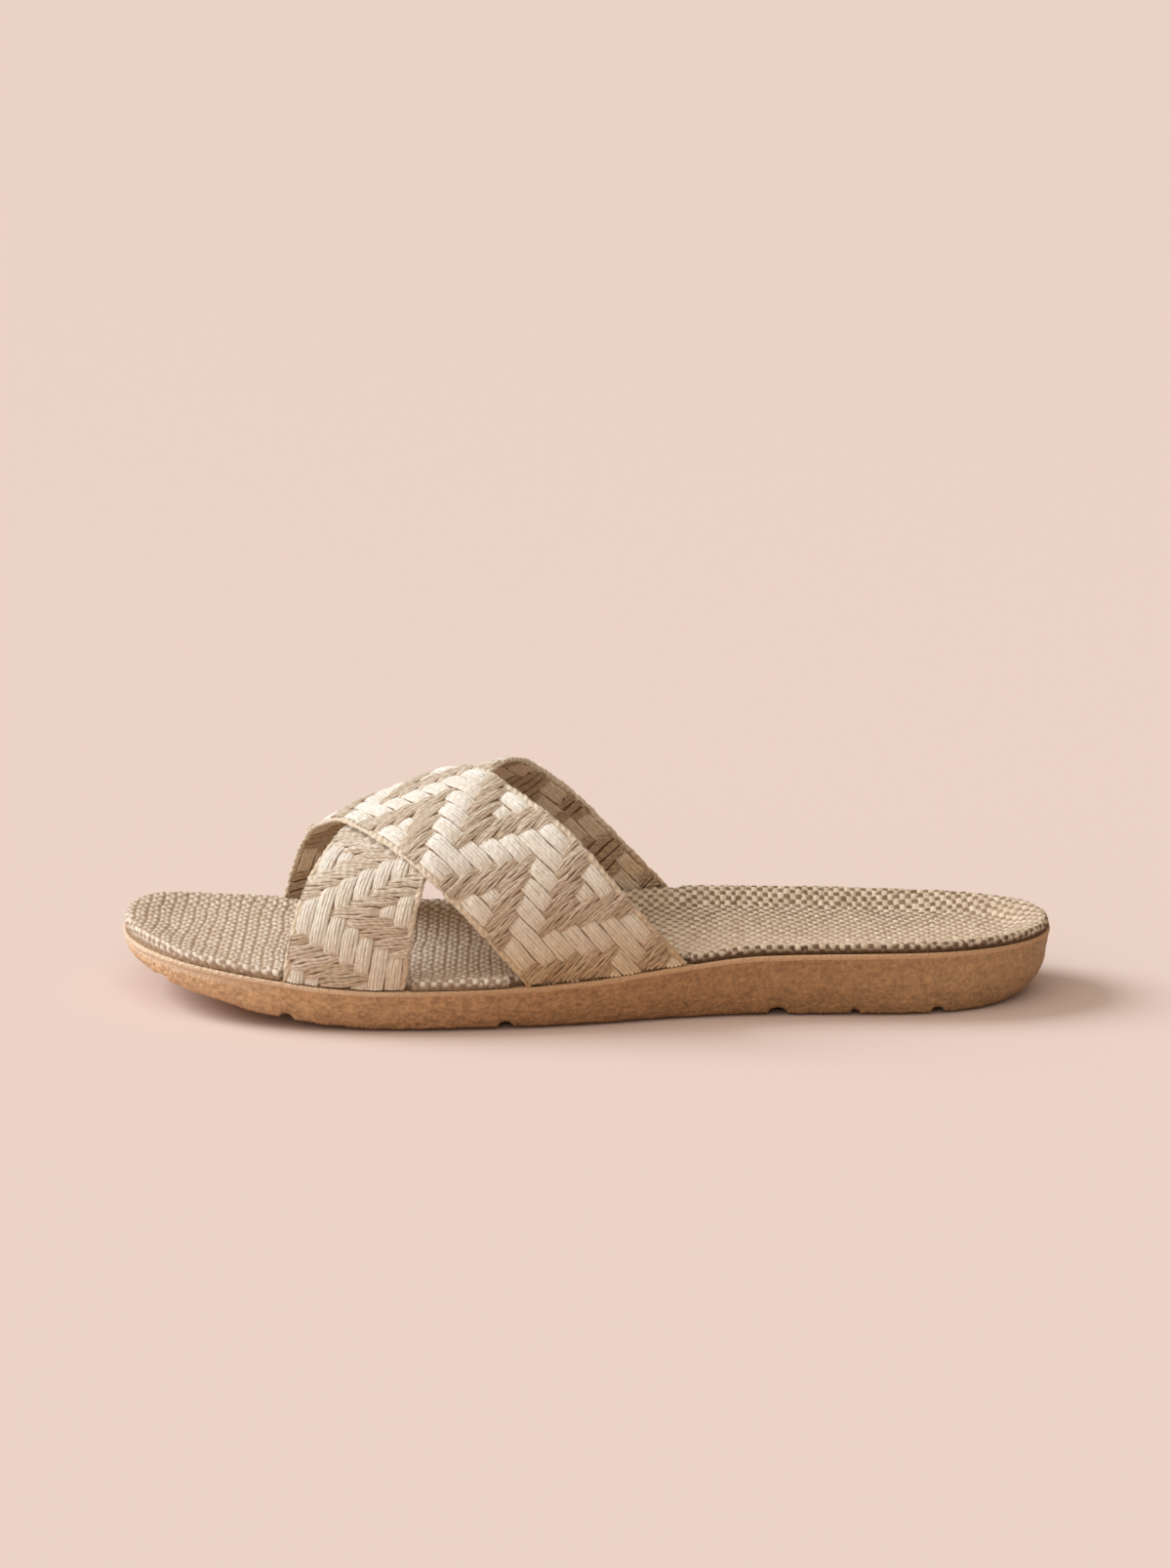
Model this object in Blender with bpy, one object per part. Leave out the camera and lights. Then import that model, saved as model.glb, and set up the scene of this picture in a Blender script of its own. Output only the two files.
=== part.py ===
"""Braided flat sandal, left shoe: rubber outsole, woven footbed and one upper of two crossed straps.

Row frame in metres: +X to the heel, -X to the toe, -Y to the outer (little toe) side, +Z up. The tread
is on z = 0. The tables are in millimetres. `along` is measured from the back of the heel towards the
toe, `across` is positive on the inner (big toe) side.
"""
import bmesh
import bpy
import numpy as np

MM = 0.001
GAP = 0.3

# Outer edge of the sole, seen from above.
OUTLINE = (
    # place, along, across
    ("heel_back", 0.7, 1.6),
    ("heel_back_outer", 6.4, -15.0),
    ("heel_outer", 28.0, -28.0),
    ("heel_front_outer", 60.0, -30.8),
    ("waist_outer", 94.0, -32.2),
    ("waist_front_outer", 128.0, -40.0),
    ("ball_outer", 178.0, -46.0),
    ("little_toe", 214.0, -42.2),
    ("toe_outer", 240.0, -31.0),
    ("toe_front", 254.6, -12.5),
    ("toe_tip", 259.8, 7.5),
    ("big_toe", 254.5, 28.2),
    ("toe_inner", 236.0, 36.6),
    ("ball_inner", 188.0, 43.6),
    ("waist_inner", 112.0, 32.3),
    ("heel_front_inner", 62.0, 33.6),
    ("heel_inner", 28.0, 29.6),
    ("heel_back_inner", 6.6, 17.8),
)
TOE_ROW = 10

# Heights and insets of the sole, one row per section.
SECTION_COLUMNS = ("along", "bottom_z", "rim_outer_z", "rim_inner_z", "bottom_inset", "dish", "rise")
SECTIONS = (
    (0.0, 1.0, 18.6, 18.8, 6.7, 3.0, 2.9),
    (24.0, 0.0, 18.4, 18.5, 4.0, 3.5, 2.9),
    (40.0, 0.0, 18.4, 18.2, 3.5, 3.6, 2.9),
    (80.0, 0.0, 17.9, 19.1, 3.5, 3.4, 2.9),
    (105.0, 0.0, 15.7, 19.5, 3.5, 2.6, 2.9),
    (130.0, 0.0, 13.3, 17.1, 3.5, 1.9, 2.9),
    (155.0, 0.0, 12.2, 13.9, 3.5, 1.5, 2.9),
    (185.0, 0.0, 12.0, 12.4, 3.5, 1.3, 2.9),
    (200.0, 0.8, 12.6, 12.5, 3.5, 1.2, 2.9),
    (215.0, 2.6, 14.1, 13.7, 3.4, 1.2, 2.9),
    (235.0, 6.2, 15.9, 15.4, 3.2, 1.2, 3.2),
    (250.0, 8.8, 16.7, 16.3, 3.0, 1.2, 4.0),
    (260.0, 10.8, 16.7, 16.6, 3.0, 1.2, 4.7),
)
# The rim changes from its outer to its inner height between these two places across.
RIM_BLEND = (-30.0, 34.0)

LIP_HEIGHT = 1.4
LIP_STEP = 0.6
RIM_WIDTH = 1.0
RIM_AT_STRAP = 3.4
RECESS_DEPTH = 2.6
SIDE_STATIONS = 56
SOLE_COLUMNS = 4

# The sole's side: share of the height below the lip, and share of the inset of the tread.
SIDE_PROFILE = (
    (0.04, 1.0),
    (0.14, 0.74),
    (0.30, 0.40),
    (0.55, 0.11),
    (1.00, 0.0),
)

# Half-round grooves across the tread.
GROOVES = (
    # along, width, depth
    (33.7, 3.6, 1.4),
    (56.4, 2.8, 1.1),
    (77.5, 5.2, 1.8),
    (151.9, 4.2, 1.5),
    (211.1, 3.8, 1.4),
    (246.1, 3.4, 1.2),
)

FOOTBED_COLUMNS = 10
DISH_REACH = 13.0
# The footbed stands back from the straps: up to this height of a strap, with this room beside it.
NOTCH_HEIGHT = 4.5
NOTCH_ROOM = 5.5

# Inside of the upper: height and place of the highest point of each section, one row per section.
LAST_COLUMNS = ("along", "apex_z", "apex_across")
LAST = (
    (90.0, 69.3, 6.7),
    (110.0, 70.3, 6.7),
    (130.0, 68.2, 6.7),
    (145.0, 63.9, 6.7),
    (158.0, 60.4, 6.7),
    (170.0, 56.2, 6.7),
    (185.0, 50.1, 6.7),
    (200.0, 44.9, 6.7),
    (215.0, 38.2, 6.7),
    (230.0, 30.0, 6.7),
)
LAST_ROUND = 2.03
LAST_RANGE = (80.0, 240.0)

# Centre lines of the straps: the share of the girth from the inner foot to the outer foot, and along.
STRAP_COLUMNS = ("share", "top_along", "under_along")
STRAPS = (
    (0.00, 202.0, 126.7),
    (0.25, 192.7, 156.7),
    (0.50, 178.7, 175.7),
    (0.75, 152.4, 189.2),
    (1.00, 123.2, 195.4),
)
STRAP_WIDTH = 34.6
STRAP_WALL = 1.8
STRIP_RISE = 0.8
STRIP_END_RISE = 0.45
STRIP_GROOVE = 0.35
EDGE_CORD = 1.6
EDGE_CORD_RISE = 0.6
FOOT_INSET = 3.2
FOOT_RUN = 26.0
TOP_LIFT = 1.4
LIFT_FALL = 13.0
STRIPS = 7
CROSS_PITCH = 2.87
# Where the chevron of each strap turns, measured from the middle of its centre line.
CHEVRON = {"top": 31.7, "under": 43.8}

COLOURS = {
    "outsole": (0.50, 0.27, 0.12, 1.0),
    "footbed": (0.58, 0.47, 0.35, 1.0),
    "upper": (0.74, 0.62, 0.47, 1.0),
}


def smooth(low, high, value):
    """Soft step from 0 at low to 1 at high."""
    t = np.clip((np.asarray(value, float) - low) / (high - low), 0.0, 1.0)
    return t * t * (3.0 - 2.0 * t)


def column(rows, names, name):
    """One named column of a table."""
    return np.array([row[names.index(name)] for row in rows], float)


def monotone(x, y, at):
    """Smooth curve through a table that never overshoots its rows."""
    step = np.diff(x)
    slope = np.diff(y) / step
    tangent = np.zeros(len(x))
    tangent[0] = slope[0]
    tangent[-1] = slope[-1]
    for i in range(1, len(x) - 1):
        if slope[i - 1] * slope[i] > 0:
            before = 2 * step[i] + step[i - 1]
            after = step[i] + 2 * step[i - 1]
            tangent[i] = (before + after) / (before / slope[i - 1] + after / slope[i])
    at = np.clip(at, x[0], x[-1])
    i = np.clip(np.searchsorted(x, at) - 1, 0, len(x) - 2)
    t = (at - x[i]) / step[i]
    value = y[i] * (1 + 2 * t) * (1 - t) ** 2 + y[i + 1] * t * t * (3 - 2 * t)
    return value + step[i] * (tangent[i] * t * (1 - t) ** 2 + tangent[i + 1] * t * t * (t - 1))


def spline(x, y, at):
    """Natural cubic spline through a table, straight beyond its ends."""
    n = len(x)
    step = np.diff(x)
    matrix = np.eye(n)
    right = np.zeros(n)
    for i in range(1, n - 1):
        matrix[i, i - 1 : i + 2] = step[i - 1], 2 * (step[i - 1] + step[i]), step[i]
        right[i] = 6 * ((y[i + 1] - y[i]) / step[i] - (y[i] - y[i - 1]) / step[i - 1])
    bend = np.linalg.solve(matrix, right)
    inside = np.clip(at, x[0], x[-1])
    i = np.clip(np.searchsorted(x, inside) - 1, 0, n - 2)
    u = inside - x[i]
    v = x[i + 1] - inside
    value = (bend[i] * v**3 + bend[i + 1] * u**3) / (6 * step[i])
    value += (y[i] / step[i] - bend[i] * step[i] / 6) * v
    value += (y[i + 1] / step[i] - bend[i + 1] * step[i] / 6) * u
    first = (y[1] - y[0]) / step[0] - step[0] * bend[1] / 6
    last = (y[-1] - y[-2]) / step[-1] + step[-1] * bend[-2] / 6
    return value + np.minimum(at - x[0], 0) * first + np.maximum(at - x[-1], 0) * last


def closed_spline(points, per_span):
    """Smooth closed curve through points, sampled per_span times in each span."""
    p = np.asarray(points, float)
    n = len(p)
    h = np.linalg.norm(np.roll(p, -1, 0) - p, axis=1) ** 0.5
    matrix = np.zeros((n, n))
    right = np.zeros((n, 2))
    for i in range(n):
        j = (i + 1) % n
        matrix[i, i - 1] += h[i - 1]
        matrix[i, i] += 2 * (h[i - 1] + h[i])
        matrix[i, j] += h[i]
        right[i] = 6 * ((p[j] - p[i]) / h[i] - (p[i] - p[i - 1]) / h[i - 1])
    bend = np.linalg.solve(matrix, right)
    spans = []
    for i in range(n):
        j = (i + 1) % n
        u = np.linspace(0, h[i], per_span, endpoint=False)[:, None]
        v = h[i] - u
        span = (bend[i] * v**3 + bend[j] * u**3) / (6 * h[i])
        span += (p[i] / h[i] - bend[i] * h[i] / 6) * v
        span += (p[j] / h[i] - bend[j] * h[i] / 6) * u
        spans.append(span)
    return np.concatenate(spans)


def even_steps(line, count):
    """An open polyline resampled to count + 1 points an equal distance apart."""
    run = np.concatenate([[0], np.cumsum(np.linalg.norm(np.diff(line, axis=0), axis=1))])
    at = np.linspace(0, run[-1], count + 1)
    return np.stack([np.interp(at, run, line[:, i]) for i in range(2)], 1)


def section(name, along):
    """A column of the section table at along."""
    x = column(SECTIONS, SECTION_COLUMNS, "along")
    return monotone(x, column(SECTIONS, SECTION_COLUMNS, name), along)


def rim_z(along, across):
    """Height of the rim, and of the surface it would span across the sole."""
    inner = smooth(RIM_BLEND[0], RIM_BLEND[1], across)
    return section("rim_outer_z", along) * (1 - inner) + section("rim_inner_z", along) * inner


PER_SPAN = 40
EDGE = closed_spline([row[1:] for row in OUTLINE], PER_SPAN)
OUTER_SIDE = EDGE[: TOE_ROW * PER_SPAN + 1]
INNER_SIDE = np.concatenate([EDGE[TOE_ROW * PER_SPAN :], EDGE[:1]])[::-1]
ALONG_MIDDLE = 0.5 * (EDGE[:, 0].min() + EDGE[:, 0].max())
ACROSS_MIDDLE = 0.5 * (EDGE[:, 1].min() + EDGE[:, 1].max())


def row_frame(points):
    """Table coordinates (along, across, z) in millimetres to the row frame in metres."""
    p = np.asarray(points, float)
    moved = np.stack([ALONG_MIDDLE - p[..., 0], p[..., 1] - ACROSS_MIDDLE, p[..., 2]], -1)
    return moved * MM


def sole_loop():
    """The sole's edge as a closed loop: the outer side from heel to toe, then the inner side back."""
    outer = even_steps(OUTER_SIDE, SIDE_STATIONS)
    inner = even_steps(INNER_SIDE, SIDE_STATIONS)
    return np.concatenate([outer, inner[-2:0:-1]])


def inset(loop, distance):
    """A closed loop moved inwards along its own normals."""
    tangent = np.roll(loop, -1, 0) - np.roll(loop, 1, 0)
    tangent /= np.linalg.norm(tangent, axis=1)[:, None]
    inwards = np.stack([tangent[:, 1], -tangent[:, 0]], 1)
    if ((loop.mean(0) - loop) * inwards).sum() < 0:
        inwards = -inwards
    return loop + inwards * np.broadcast_to(distance, len(loop))[:, None]


def edge_distance(along, across):
    """Distance of places on the sole from its edge."""
    places = np.stack([along, across], -1)
    return np.sqrt(((places[..., None, :] - EDGE) ** 2).sum(-1)).min(-1)


class Shell:
    """Collects vertices and faces of one closed body."""

    def __init__(self):
        self.points = []
        self.faces = []

    def add(self, points):
        """Adds points and gives their numbers."""
        first = len(self.points)
        self.points.extend(np.asarray(points, float))
        return list(range(first, len(self.points)))

    def band(self, low, high):
        """Joins two closed loops of the same length with quads."""
        for i in range(len(low)):
            j = (i + 1) % len(low)
            self.faces.append((low[i], low[j], high[j], high[i]))

    def sheet(self, loop, height, columns):
        """Closes a sole loop with rows across it, at height(along, across)."""
        count = SIDE_STATIONS
        rows = [[loop[0]]]
        for k in range(1, count):
            a = self.points[loop[k]]
            b = self.points[loop[-k]]
            share = np.linspace(0, 1, columns + 1)[1:-1, None]
            flat = a[:2] * (1 - share) + b[:2] * share
            z = height(flat[:, 0], flat[:, 1])
            rows.append([loop[k]] + self.add(np.column_stack([flat, z])) + [loop[-k]])
        rows.append([loop[count]])
        for first, second in zip(rows, rows[1:]):
            for i in range(columns):
                quad = (first[min(i, len(first) - 1)], first[min(i + 1, len(first) - 1)])
                quad += (second[min(i + 1, len(second) - 1)], second[min(i, len(second) - 1)])
                self.faces.append(tuple(dict.fromkeys(quad)))

    def build(self, name):
        """Makes the object, with its faces outwards and its own material."""
        mesh = bpy.data.meshes.new(name)
        mesh.from_pydata(row_frame(np.array(self.points)).tolist(), [], self.faces)
        work = bmesh.new()
        work.from_mesh(mesh)
        bmesh.ops.recalc_face_normals(work, faces=work.faces)
        bmesh.ops.triangulate(work, faces=work.faces)
        work.to_mesh(mesh)
        work.free()
        body = bpy.data.objects.new(name, mesh)
        bpy.context.scene.collection.objects.link(body)
        if name in COLOURS:
            mesh.materials.append(material(name))
        return body


def material(name):
    """A plain material in the piece's colour."""
    made = bpy.data.materials.new(name)
    made.use_nodes = True
    shader = made.node_tree.nodes["Principled BSDF"]
    shader.inputs["Base Color"].default_value = COLOURS[name]
    shader.inputs["Roughness"].default_value = 0.8
    return made


def boolean(body, cutter, operation):
    """A Boolean with a helper body that stays out of the render."""
    cutter.hide_render = True
    cutter.display_type = "WIRE"
    step = body.modifiers.new(cutter.name, "BOOLEAN")
    step.operation = operation
    step.solver = "EXACT"
    step.object = cutter


def ring(shell, distance, height):
    """Adds the sole's loop moved inwards by distance, at height(along, across)."""
    loop = inset(sole_loop(), distance)
    return shell.add(np.column_stack([loop, height(loop[:, 0], loop[:, 1])]))


def foot_spans():
    """Where the straps stand on the rim: the side, and the range along it of each of the four feet."""
    last = Last()
    spans = []
    for name in ("top", "under"):
        strap = Strap(last, name)
        for side, foot in (("inner", strap.feet[0]), ("outer", strap.feet[1])):
            s = np.linspace(foot - FOOT_RUN, foot + FOOT_RUN, 261)
            q = np.linspace(-STRAP_WIDTH / 2, STRAP_WIDTH / 2, 9)
            along, girth = strap.flat(*np.meshgrid(s, q))
            height = last.girth_at(along) / 2 - np.abs(girth)
            low = along[(height > 0) & (height < NOTCH_HEIGHT)]
            spans.append((side, low.min(), low.max()))
    return spans


def rim_widths():
    """Width of the rim at each point of the sole's loop: narrow, and wider where the straps stand on it."""
    along, across = sole_loop().T
    width = np.full(len(along), RIM_WIDTH)
    for side, low, high in foot_spans():
        here = (across < 0) == (side == "outer")
        share = smooth(low - 2 * NOTCH_ROOM, low - NOTCH_ROOM, along)
        share = share * (1 - smooth(high + NOTCH_ROOM, high + 2 * NOTCH_ROOM, along))
        width = np.maximum(width, RIM_WIDTH + (RIM_AT_STRAP - RIM_WIDTH) * share * here)
    return width


def make_outsole(rim):
    """The sole: tread, convex side, lip, rim and the recess for the footbed."""
    shell = Shell()
    edge = sole_loop()
    foot = section("bottom_inset", edge[:, 0])

    def tread(along, across):
        return section("bottom_z", along)

    def side(share):
        return lambda along, across: (
            section("bottom_z", along) * (1 - share) + (rim_z(along, across) - LIP_HEIGHT) * share
        )

    def floor(along, across):
        return rim_z(along, across) - RECESS_DEPTH

    rings = [ring(shell, foot + 0.6, tread)]
    rings += [ring(shell, LIP_STEP + (foot - LIP_STEP) * part, side(share)) for share, part in SIDE_PROFILE]
    rings += [
        ring(shell, 0.0, lambda a, b: rim_z(a, b) - LIP_HEIGHT + 0.25),
        ring(shell, 0.0, lambda a, b: rim_z(a, b) - 0.35),
        ring(shell, 0.3, rim_z),
        ring(shell, rim, rim_z),
        ring(shell, rim, floor),
    ]
    for low, high in zip(rings, rings[1:]):
        shell.band(low, high)
    shell.sheet(rings[0], tread, SOLE_COLUMNS)
    shell.sheet(rings[-1], floor, SOLE_COLUMNS)
    outsole = shell.build("outsole")
    boolean(outsole, make_groove_bars(), "DIFFERENCE")
    return outsole


def make_groove_bars():
    """Round bars that cut the grooves of the tread."""
    shell = Shell()
    turns = np.radians(np.arange(0, 360, 45) + 22.5)
    for along, width, depth in GROOVES:
        radius = (width**2 / 4 + depth**2) / (2 * depth)
        middle = section("bottom_z", along) + depth - radius
        profile = np.column_stack([along + radius * np.cos(turns), middle + radius * np.sin(turns)])
        ends = []
        for across in (-60.0, 60.0):
            loop = np.column_stack([profile[:, 0], np.full(len(turns), across), profile[:, 1]])
            ends.append(shell.add(loop))
            shell.faces.append(tuple(ends[-1]))
        shell.band(*ends)
    return shell.build("groove_bars")


def make_footbed(rim):
    """The woven pad: a standing edge with a rounded top, dished inside it."""
    shell = Shell()
    start = rim + GAP
    flat = RIM_WIDTH + GAP

    def under(along, across):
        return rim_z(along, across) - RECESS_DEPTH + GAP

    def edge_top(along, across):
        return rim_z(along, across) + section("rise", along)

    def top(along, across):
        hollow = smooth(flat + 1.0, flat + DISH_REACH, edge_distance(along, across))
        return edge_top(along, across) - section("dish", along) * hollow

    rings = [
        ring(shell, start + 0.4, under),
        ring(shell, start, lambda a, b: under(a, b) + 0.5),
        ring(shell, start, lambda a, b: edge_top(a, b) - 1.0),
        ring(shell, start + 0.45, lambda a, b: edge_top(a, b) - 0.3),
        ring(shell, start + 1.3, top),
    ]
    for low, high in zip(rings, rings[1:]):
        shell.band(low, high)
    shell.sheet(rings[0], under, SOLE_COLUMNS)
    shell.sheet(rings[-1], top, FOOTBED_COLUMNS)
    return shell.build("footbed")


class Last:
    """The surface inside the straps, as a grid of places along the shoe by shares of the girth."""

    def __init__(self):
        self.along = np.linspace(LAST_RANGE[0], LAST_RANGE[1], 81)
        self.share = np.linspace(0, 1, 161)
        x = column(LAST, LAST_COLUMNS, "along")
        apex_z = monotone(x, column(LAST, LAST_COLUMNS, "apex_z"), self.along)
        apex_y = monotone(x, column(LAST, LAST_COLUMNS, "apex_across"), self.along)
        outer = np.interp(self.along, OUTER_SIDE[:, 0], OUTER_SIDE[:, 1]) + FOOT_INSET
        inner = np.interp(self.along, INNER_SIDE[:, 0], INNER_SIDE[:, 1]) - FOOT_INSET
        turn = np.linspace(0, np.pi, 721)
        flat = np.abs(np.cos(turn)) ** (2 / LAST_ROUND)
        high = np.abs(np.sin(turn)) ** (2 / LAST_ROUND)
        self.girth = np.zeros(len(self.along))
        self.points = np.zeros((len(self.along), len(self.share), 3))
        for k, along in enumerate(self.along):
            on_inner = turn <= np.pi / 2
            reach = np.where(on_inner, inner[k] - apex_y[k], outer[k] - apex_y[k])
            base = np.where(on_inner, rim_z(along, inner[k]), rim_z(along, outer[k])) + GAP
            y = apex_y[k] + reach * flat
            z = base + (apex_z[k] - base) * high
            run = np.concatenate([[0], np.cumsum(np.hypot(np.diff(y), np.diff(z)))])
            self.girth[k] = run[-1]
            self.points[k, :, 0] = along
            self.points[k, :, 1] = np.interp(self.share * run[-1], run, y)
            self.points[k, :, 2] = np.interp(self.share * run[-1], run, z)
        normal = np.cross(np.gradient(self.points, axis=1), np.gradient(self.points, axis=0))
        self.normals = normal / np.linalg.norm(normal, axis=2)[..., None]

    def girth_at(self, along):
        """Length of the section from foot to foot."""
        return np.interp(along, self.along, self.girth)

    def mix(self, grid, along, share):
        """A value of the grid between its nodes."""
        i = (np.clip(along, *LAST_RANGE) - self.along[0]) / (self.along[1] - self.along[0])
        j = np.clip(share, 0, 1) * (len(self.share) - 1)
        i0 = np.minimum(i.astype(int), len(self.along) - 2)
        j0 = np.minimum(j.astype(int), len(self.share) - 2)
        u = (i - i0)[..., None]
        v = (j - j0)[..., None]
        near = grid[i0, j0] * (1 - v) + grid[i0, j0 + 1] * v
        far = grid[i0 + 1, j0] * (1 - v) + grid[i0 + 1, j0 + 1] * v
        return near * (1 - u) + far * u

    def place(self, along, girth, off):
        """Point at along and at a girth measured from the middle, moved outwards by off. Below a foot the
        surface runs on straight down."""
        whole = self.girth_at(along)
        share = girth / whole + 0.5
        normal = self.mix(self.normals, along, share)
        normal /= np.linalg.norm(normal, axis=-1)[..., None]
        point = self.mix(self.points, along, share) + normal * np.asarray(off)[..., None]
        point[..., 2] -= np.maximum(np.maximum(-share, share - 1), 0) * whole
        return point


class Strap:
    """A band of constant width on the last, with places given by s along its centre line, measured from the
    middle of the line, and q across it, positive towards the toe."""

    def __init__(self, last, name):
        self.last = last
        share = np.linspace(-0.3, 1.3, 641)
        rows = column(STRAPS, STRAP_COLUMNS, "share")
        along = spline(rows, column(STRAPS, STRAP_COLUMNS, name + "_along"), share)
        self.line = np.column_stack([along, (share - 0.5) * last.girth_at(along)])
        run = np.concatenate([[0], np.cumsum(np.linalg.norm(np.diff(self.line, axis=0), axis=1))])
        self.run = run - np.interp(0.5, share, run)
        self.feet = np.interp([0.0, 1.0], share, self.run)
        tangent = np.gradient(self.line, axis=0)
        tangent /= np.linalg.norm(tangent, axis=1)[:, None]
        self.across = np.column_stack([tangent[:, 1], -tangent[:, 0]])

    def flat(self, s, q):
        """Along and girth of a place on the band."""
        along = np.interp(s, self.run, self.line[:, 0]) + q * np.interp(s, self.run, self.across[:, 0])
        girth = np.interp(s, self.run, self.line[:, 1]) + q * np.interp(s, self.run, self.across[:, 1])
        return along, girth

    def distance(self, along, girth):
        """Distance of places from the band's centre line."""
        places = np.stack([along, girth], -1)
        return np.sqrt(((places[..., None, :] - self.line[::4]) ** 2).sum(-1)).min(-1)


def lift_over(along, girth, below):
    """How far the top strap is lifted where it crosses the strap below."""
    if below is None:
        return np.zeros(np.shape(along))
    half = STRAP_WIDTH / 2
    return TOP_LIFT * (1 - smooth(half - 1.0, half + LIFT_FALL, below.distance(along, girth)))


def strip_is_up(strip, cross):
    """The chevron weave: a lengthwise strip lies over three cross strips, then under three, and the step
    turns back after every six."""
    turn = abs((cross + 6) % 12 - 6)
    return (turn - strip + 1) % 6 <= 2


def make_strap(last, name, below=None):
    """One strap as a closed body: plain inside, edge cords, and the upper strips of the weave raised."""
    strap = Strap(last, name)
    half = STRAP_WIDTH / 2
    weave = np.linspace(half - EDGE_CORD, EDGE_CORD - half, STRIPS + 1)
    first = int(np.floor((strap.feet[0] - FOOT_RUN - CHEVRON[name]) / CROSS_PITCH))
    last_row = int(np.ceil((strap.feet[1] + FOOT_RUN - CHEVRON[name]) / CROSS_PITCH))
    cells = range(first, last_row)
    lines = CHEVRON[name] + (np.arange(first, last_row + 1) - 0.5) * CROSS_PITCH
    shell = Shell()

    def points(s, q, off):
        s, q, off = np.broadcast_arrays(*(np.asarray(v, float) for v in (s, q, off)))
        along, girth = strap.flat(s, q)
        return last.place(along, girth, off + lift_over(along, girth, below))

    rim = 0.5 * EDGE_CORD
    profile = [(half, 0.0), (half, 0.6 * STRAP_WALL), (half - rim, STRAP_WALL + EDGE_CORD_RISE)]
    profile += [(q, STRAP_WALL) for q in weave]
    profile += [(rim - half, STRAP_WALL + EDGE_CORD_RISE), (-half, 0.6 * STRAP_WALL), (-half, 0.0)]
    profile += [(-half / 3, 0.0), (half / 3, 0.0)]
    places = np.array(profile)
    rows = [shell.add(points(s, places[:, 0], places[:, 1])) for s in lines]
    skin = 3

    for k in range(len(cells)):
        for i in range(len(profile)):
            j = (i + 1) % len(profile)
            if skin <= i < skin + STRIPS and strip_is_up(i - skin, cells[k]):
                continue
            shell.faces.append((rows[k][i], rows[k][j], rows[k + 1][j], rows[k + 1][i]))
    shell.faces.append(tuple(rows[0]))
    shell.faces.append(tuple(rows[-1]))

    for strip in range(STRIPS):
        k = 0
        while k < len(cells):
            end = k
            while end < len(cells) and strip_is_up(strip, cells[end]):
                end += 1
            if end > k:
                span = slice(k, end + 1)
                raise_strip(shell, points, lines[span], weave[strip : strip + 2], rows[span], skin + strip)
            k = end + 1
    return shell.build(name + "_strap")


def raise_strip(shell, points, lines, sides, rows, column_number):
    """A raised piece of one strip between its grid nodes, lower at its two ends."""
    s = np.array(lines)
    s[0] += STRIP_GROOVE
    s[-1] -= STRIP_GROOVE
    rise = np.full(len(s), STRAP_WALL + STRIP_RISE)
    rise[[0, -1]] = STRAP_WALL + STRIP_END_RISE
    toe = shell.add(points(s, sides[0] - STRIP_GROOVE, rise))
    heel = shell.add(points(s, sides[1] + STRIP_GROOVE, rise))
    foot_toe = [row[column_number] for row in rows]
    foot_heel = [row[column_number + 1] for row in rows]
    for k in range(len(s) - 1):
        shell.faces.append((toe[k], heel[k], heel[k + 1], toe[k + 1]))
        shell.faces.append((foot_toe[k], toe[k], toe[k + 1], foot_toe[k + 1]))
        shell.faces.append((heel[k], foot_heel[k], foot_heel[k + 1], heel[k + 1]))
    shell.faces.append((foot_toe[0], foot_heel[0], heel[0], toe[0]))
    shell.faces.append((toe[-1], heel[-1], foot_heel[-1], foot_toe[-1]))


def make_foot_block():
    """A block whose top lies a gap above the rim: it cuts the four feet of the straps."""
    shell = Shell()
    along = np.linspace(70.0, 250.0, 37)
    across = np.linspace(-70.0, 70.0, 15)
    top = []
    low = []
    for a in along:
        z = rim_z(np.full(len(across), a), across) + GAP
        top.append(shell.add(np.column_stack([np.full(len(across), a), across, z])))
        low.append(shell.add(np.column_stack([np.full(2, a), across[[0, -1]], np.full(2, -60.0)])))
    for k in range(len(along) - 1):
        for i in range(len(across) - 1):
            shell.faces.append((top[k][i], top[k][i + 1], top[k + 1][i + 1], top[k + 1][i]))
        shell.faces.append((low[k][0], low[k][1], low[k + 1][1], low[k + 1][0]))
        shell.faces.append((top[k][0], top[k + 1][0], low[k + 1][0], low[k][0]))
        shell.faces.append((top[k][-1], top[k + 1][-1], low[k + 1][1], low[k][1]))
    for k in (0, -1):
        shell.faces.append(tuple(top[k] + [low[k][1], low[k][0]]))
    return shell.build("foot_block")


def make_upper():
    """Both straps as one solid, cut off a gap above the rim."""
    last = Last()
    under = Strap(last, "under")
    upper = make_strap(last, "under")
    top = make_strap(last, "top", under)
    boolean(upper, top, "UNION")
    boolean(upper, make_foot_block(), "DIFFERENCE")
    upper.name = "upper"
    upper.data.materials.append(material("upper"))
    return upper


for old in list(bpy.data.objects):
    bpy.data.objects.remove(old, do_unlink=True)
RIM = rim_widths()
make_outsole(RIM)
make_footbed(RIM)
make_upper()
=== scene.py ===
"""Looks of the braided flat sandal: woven straps, woven footbed and crepe rubber sole.

Tables are in millimetres, as in the part's source: `along` from the back of the heel towards the toe,
`across` positive on the inner (big toe) side. Everything is moved to the row frame in metres when a mesh
is made.
"""

import math

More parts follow.
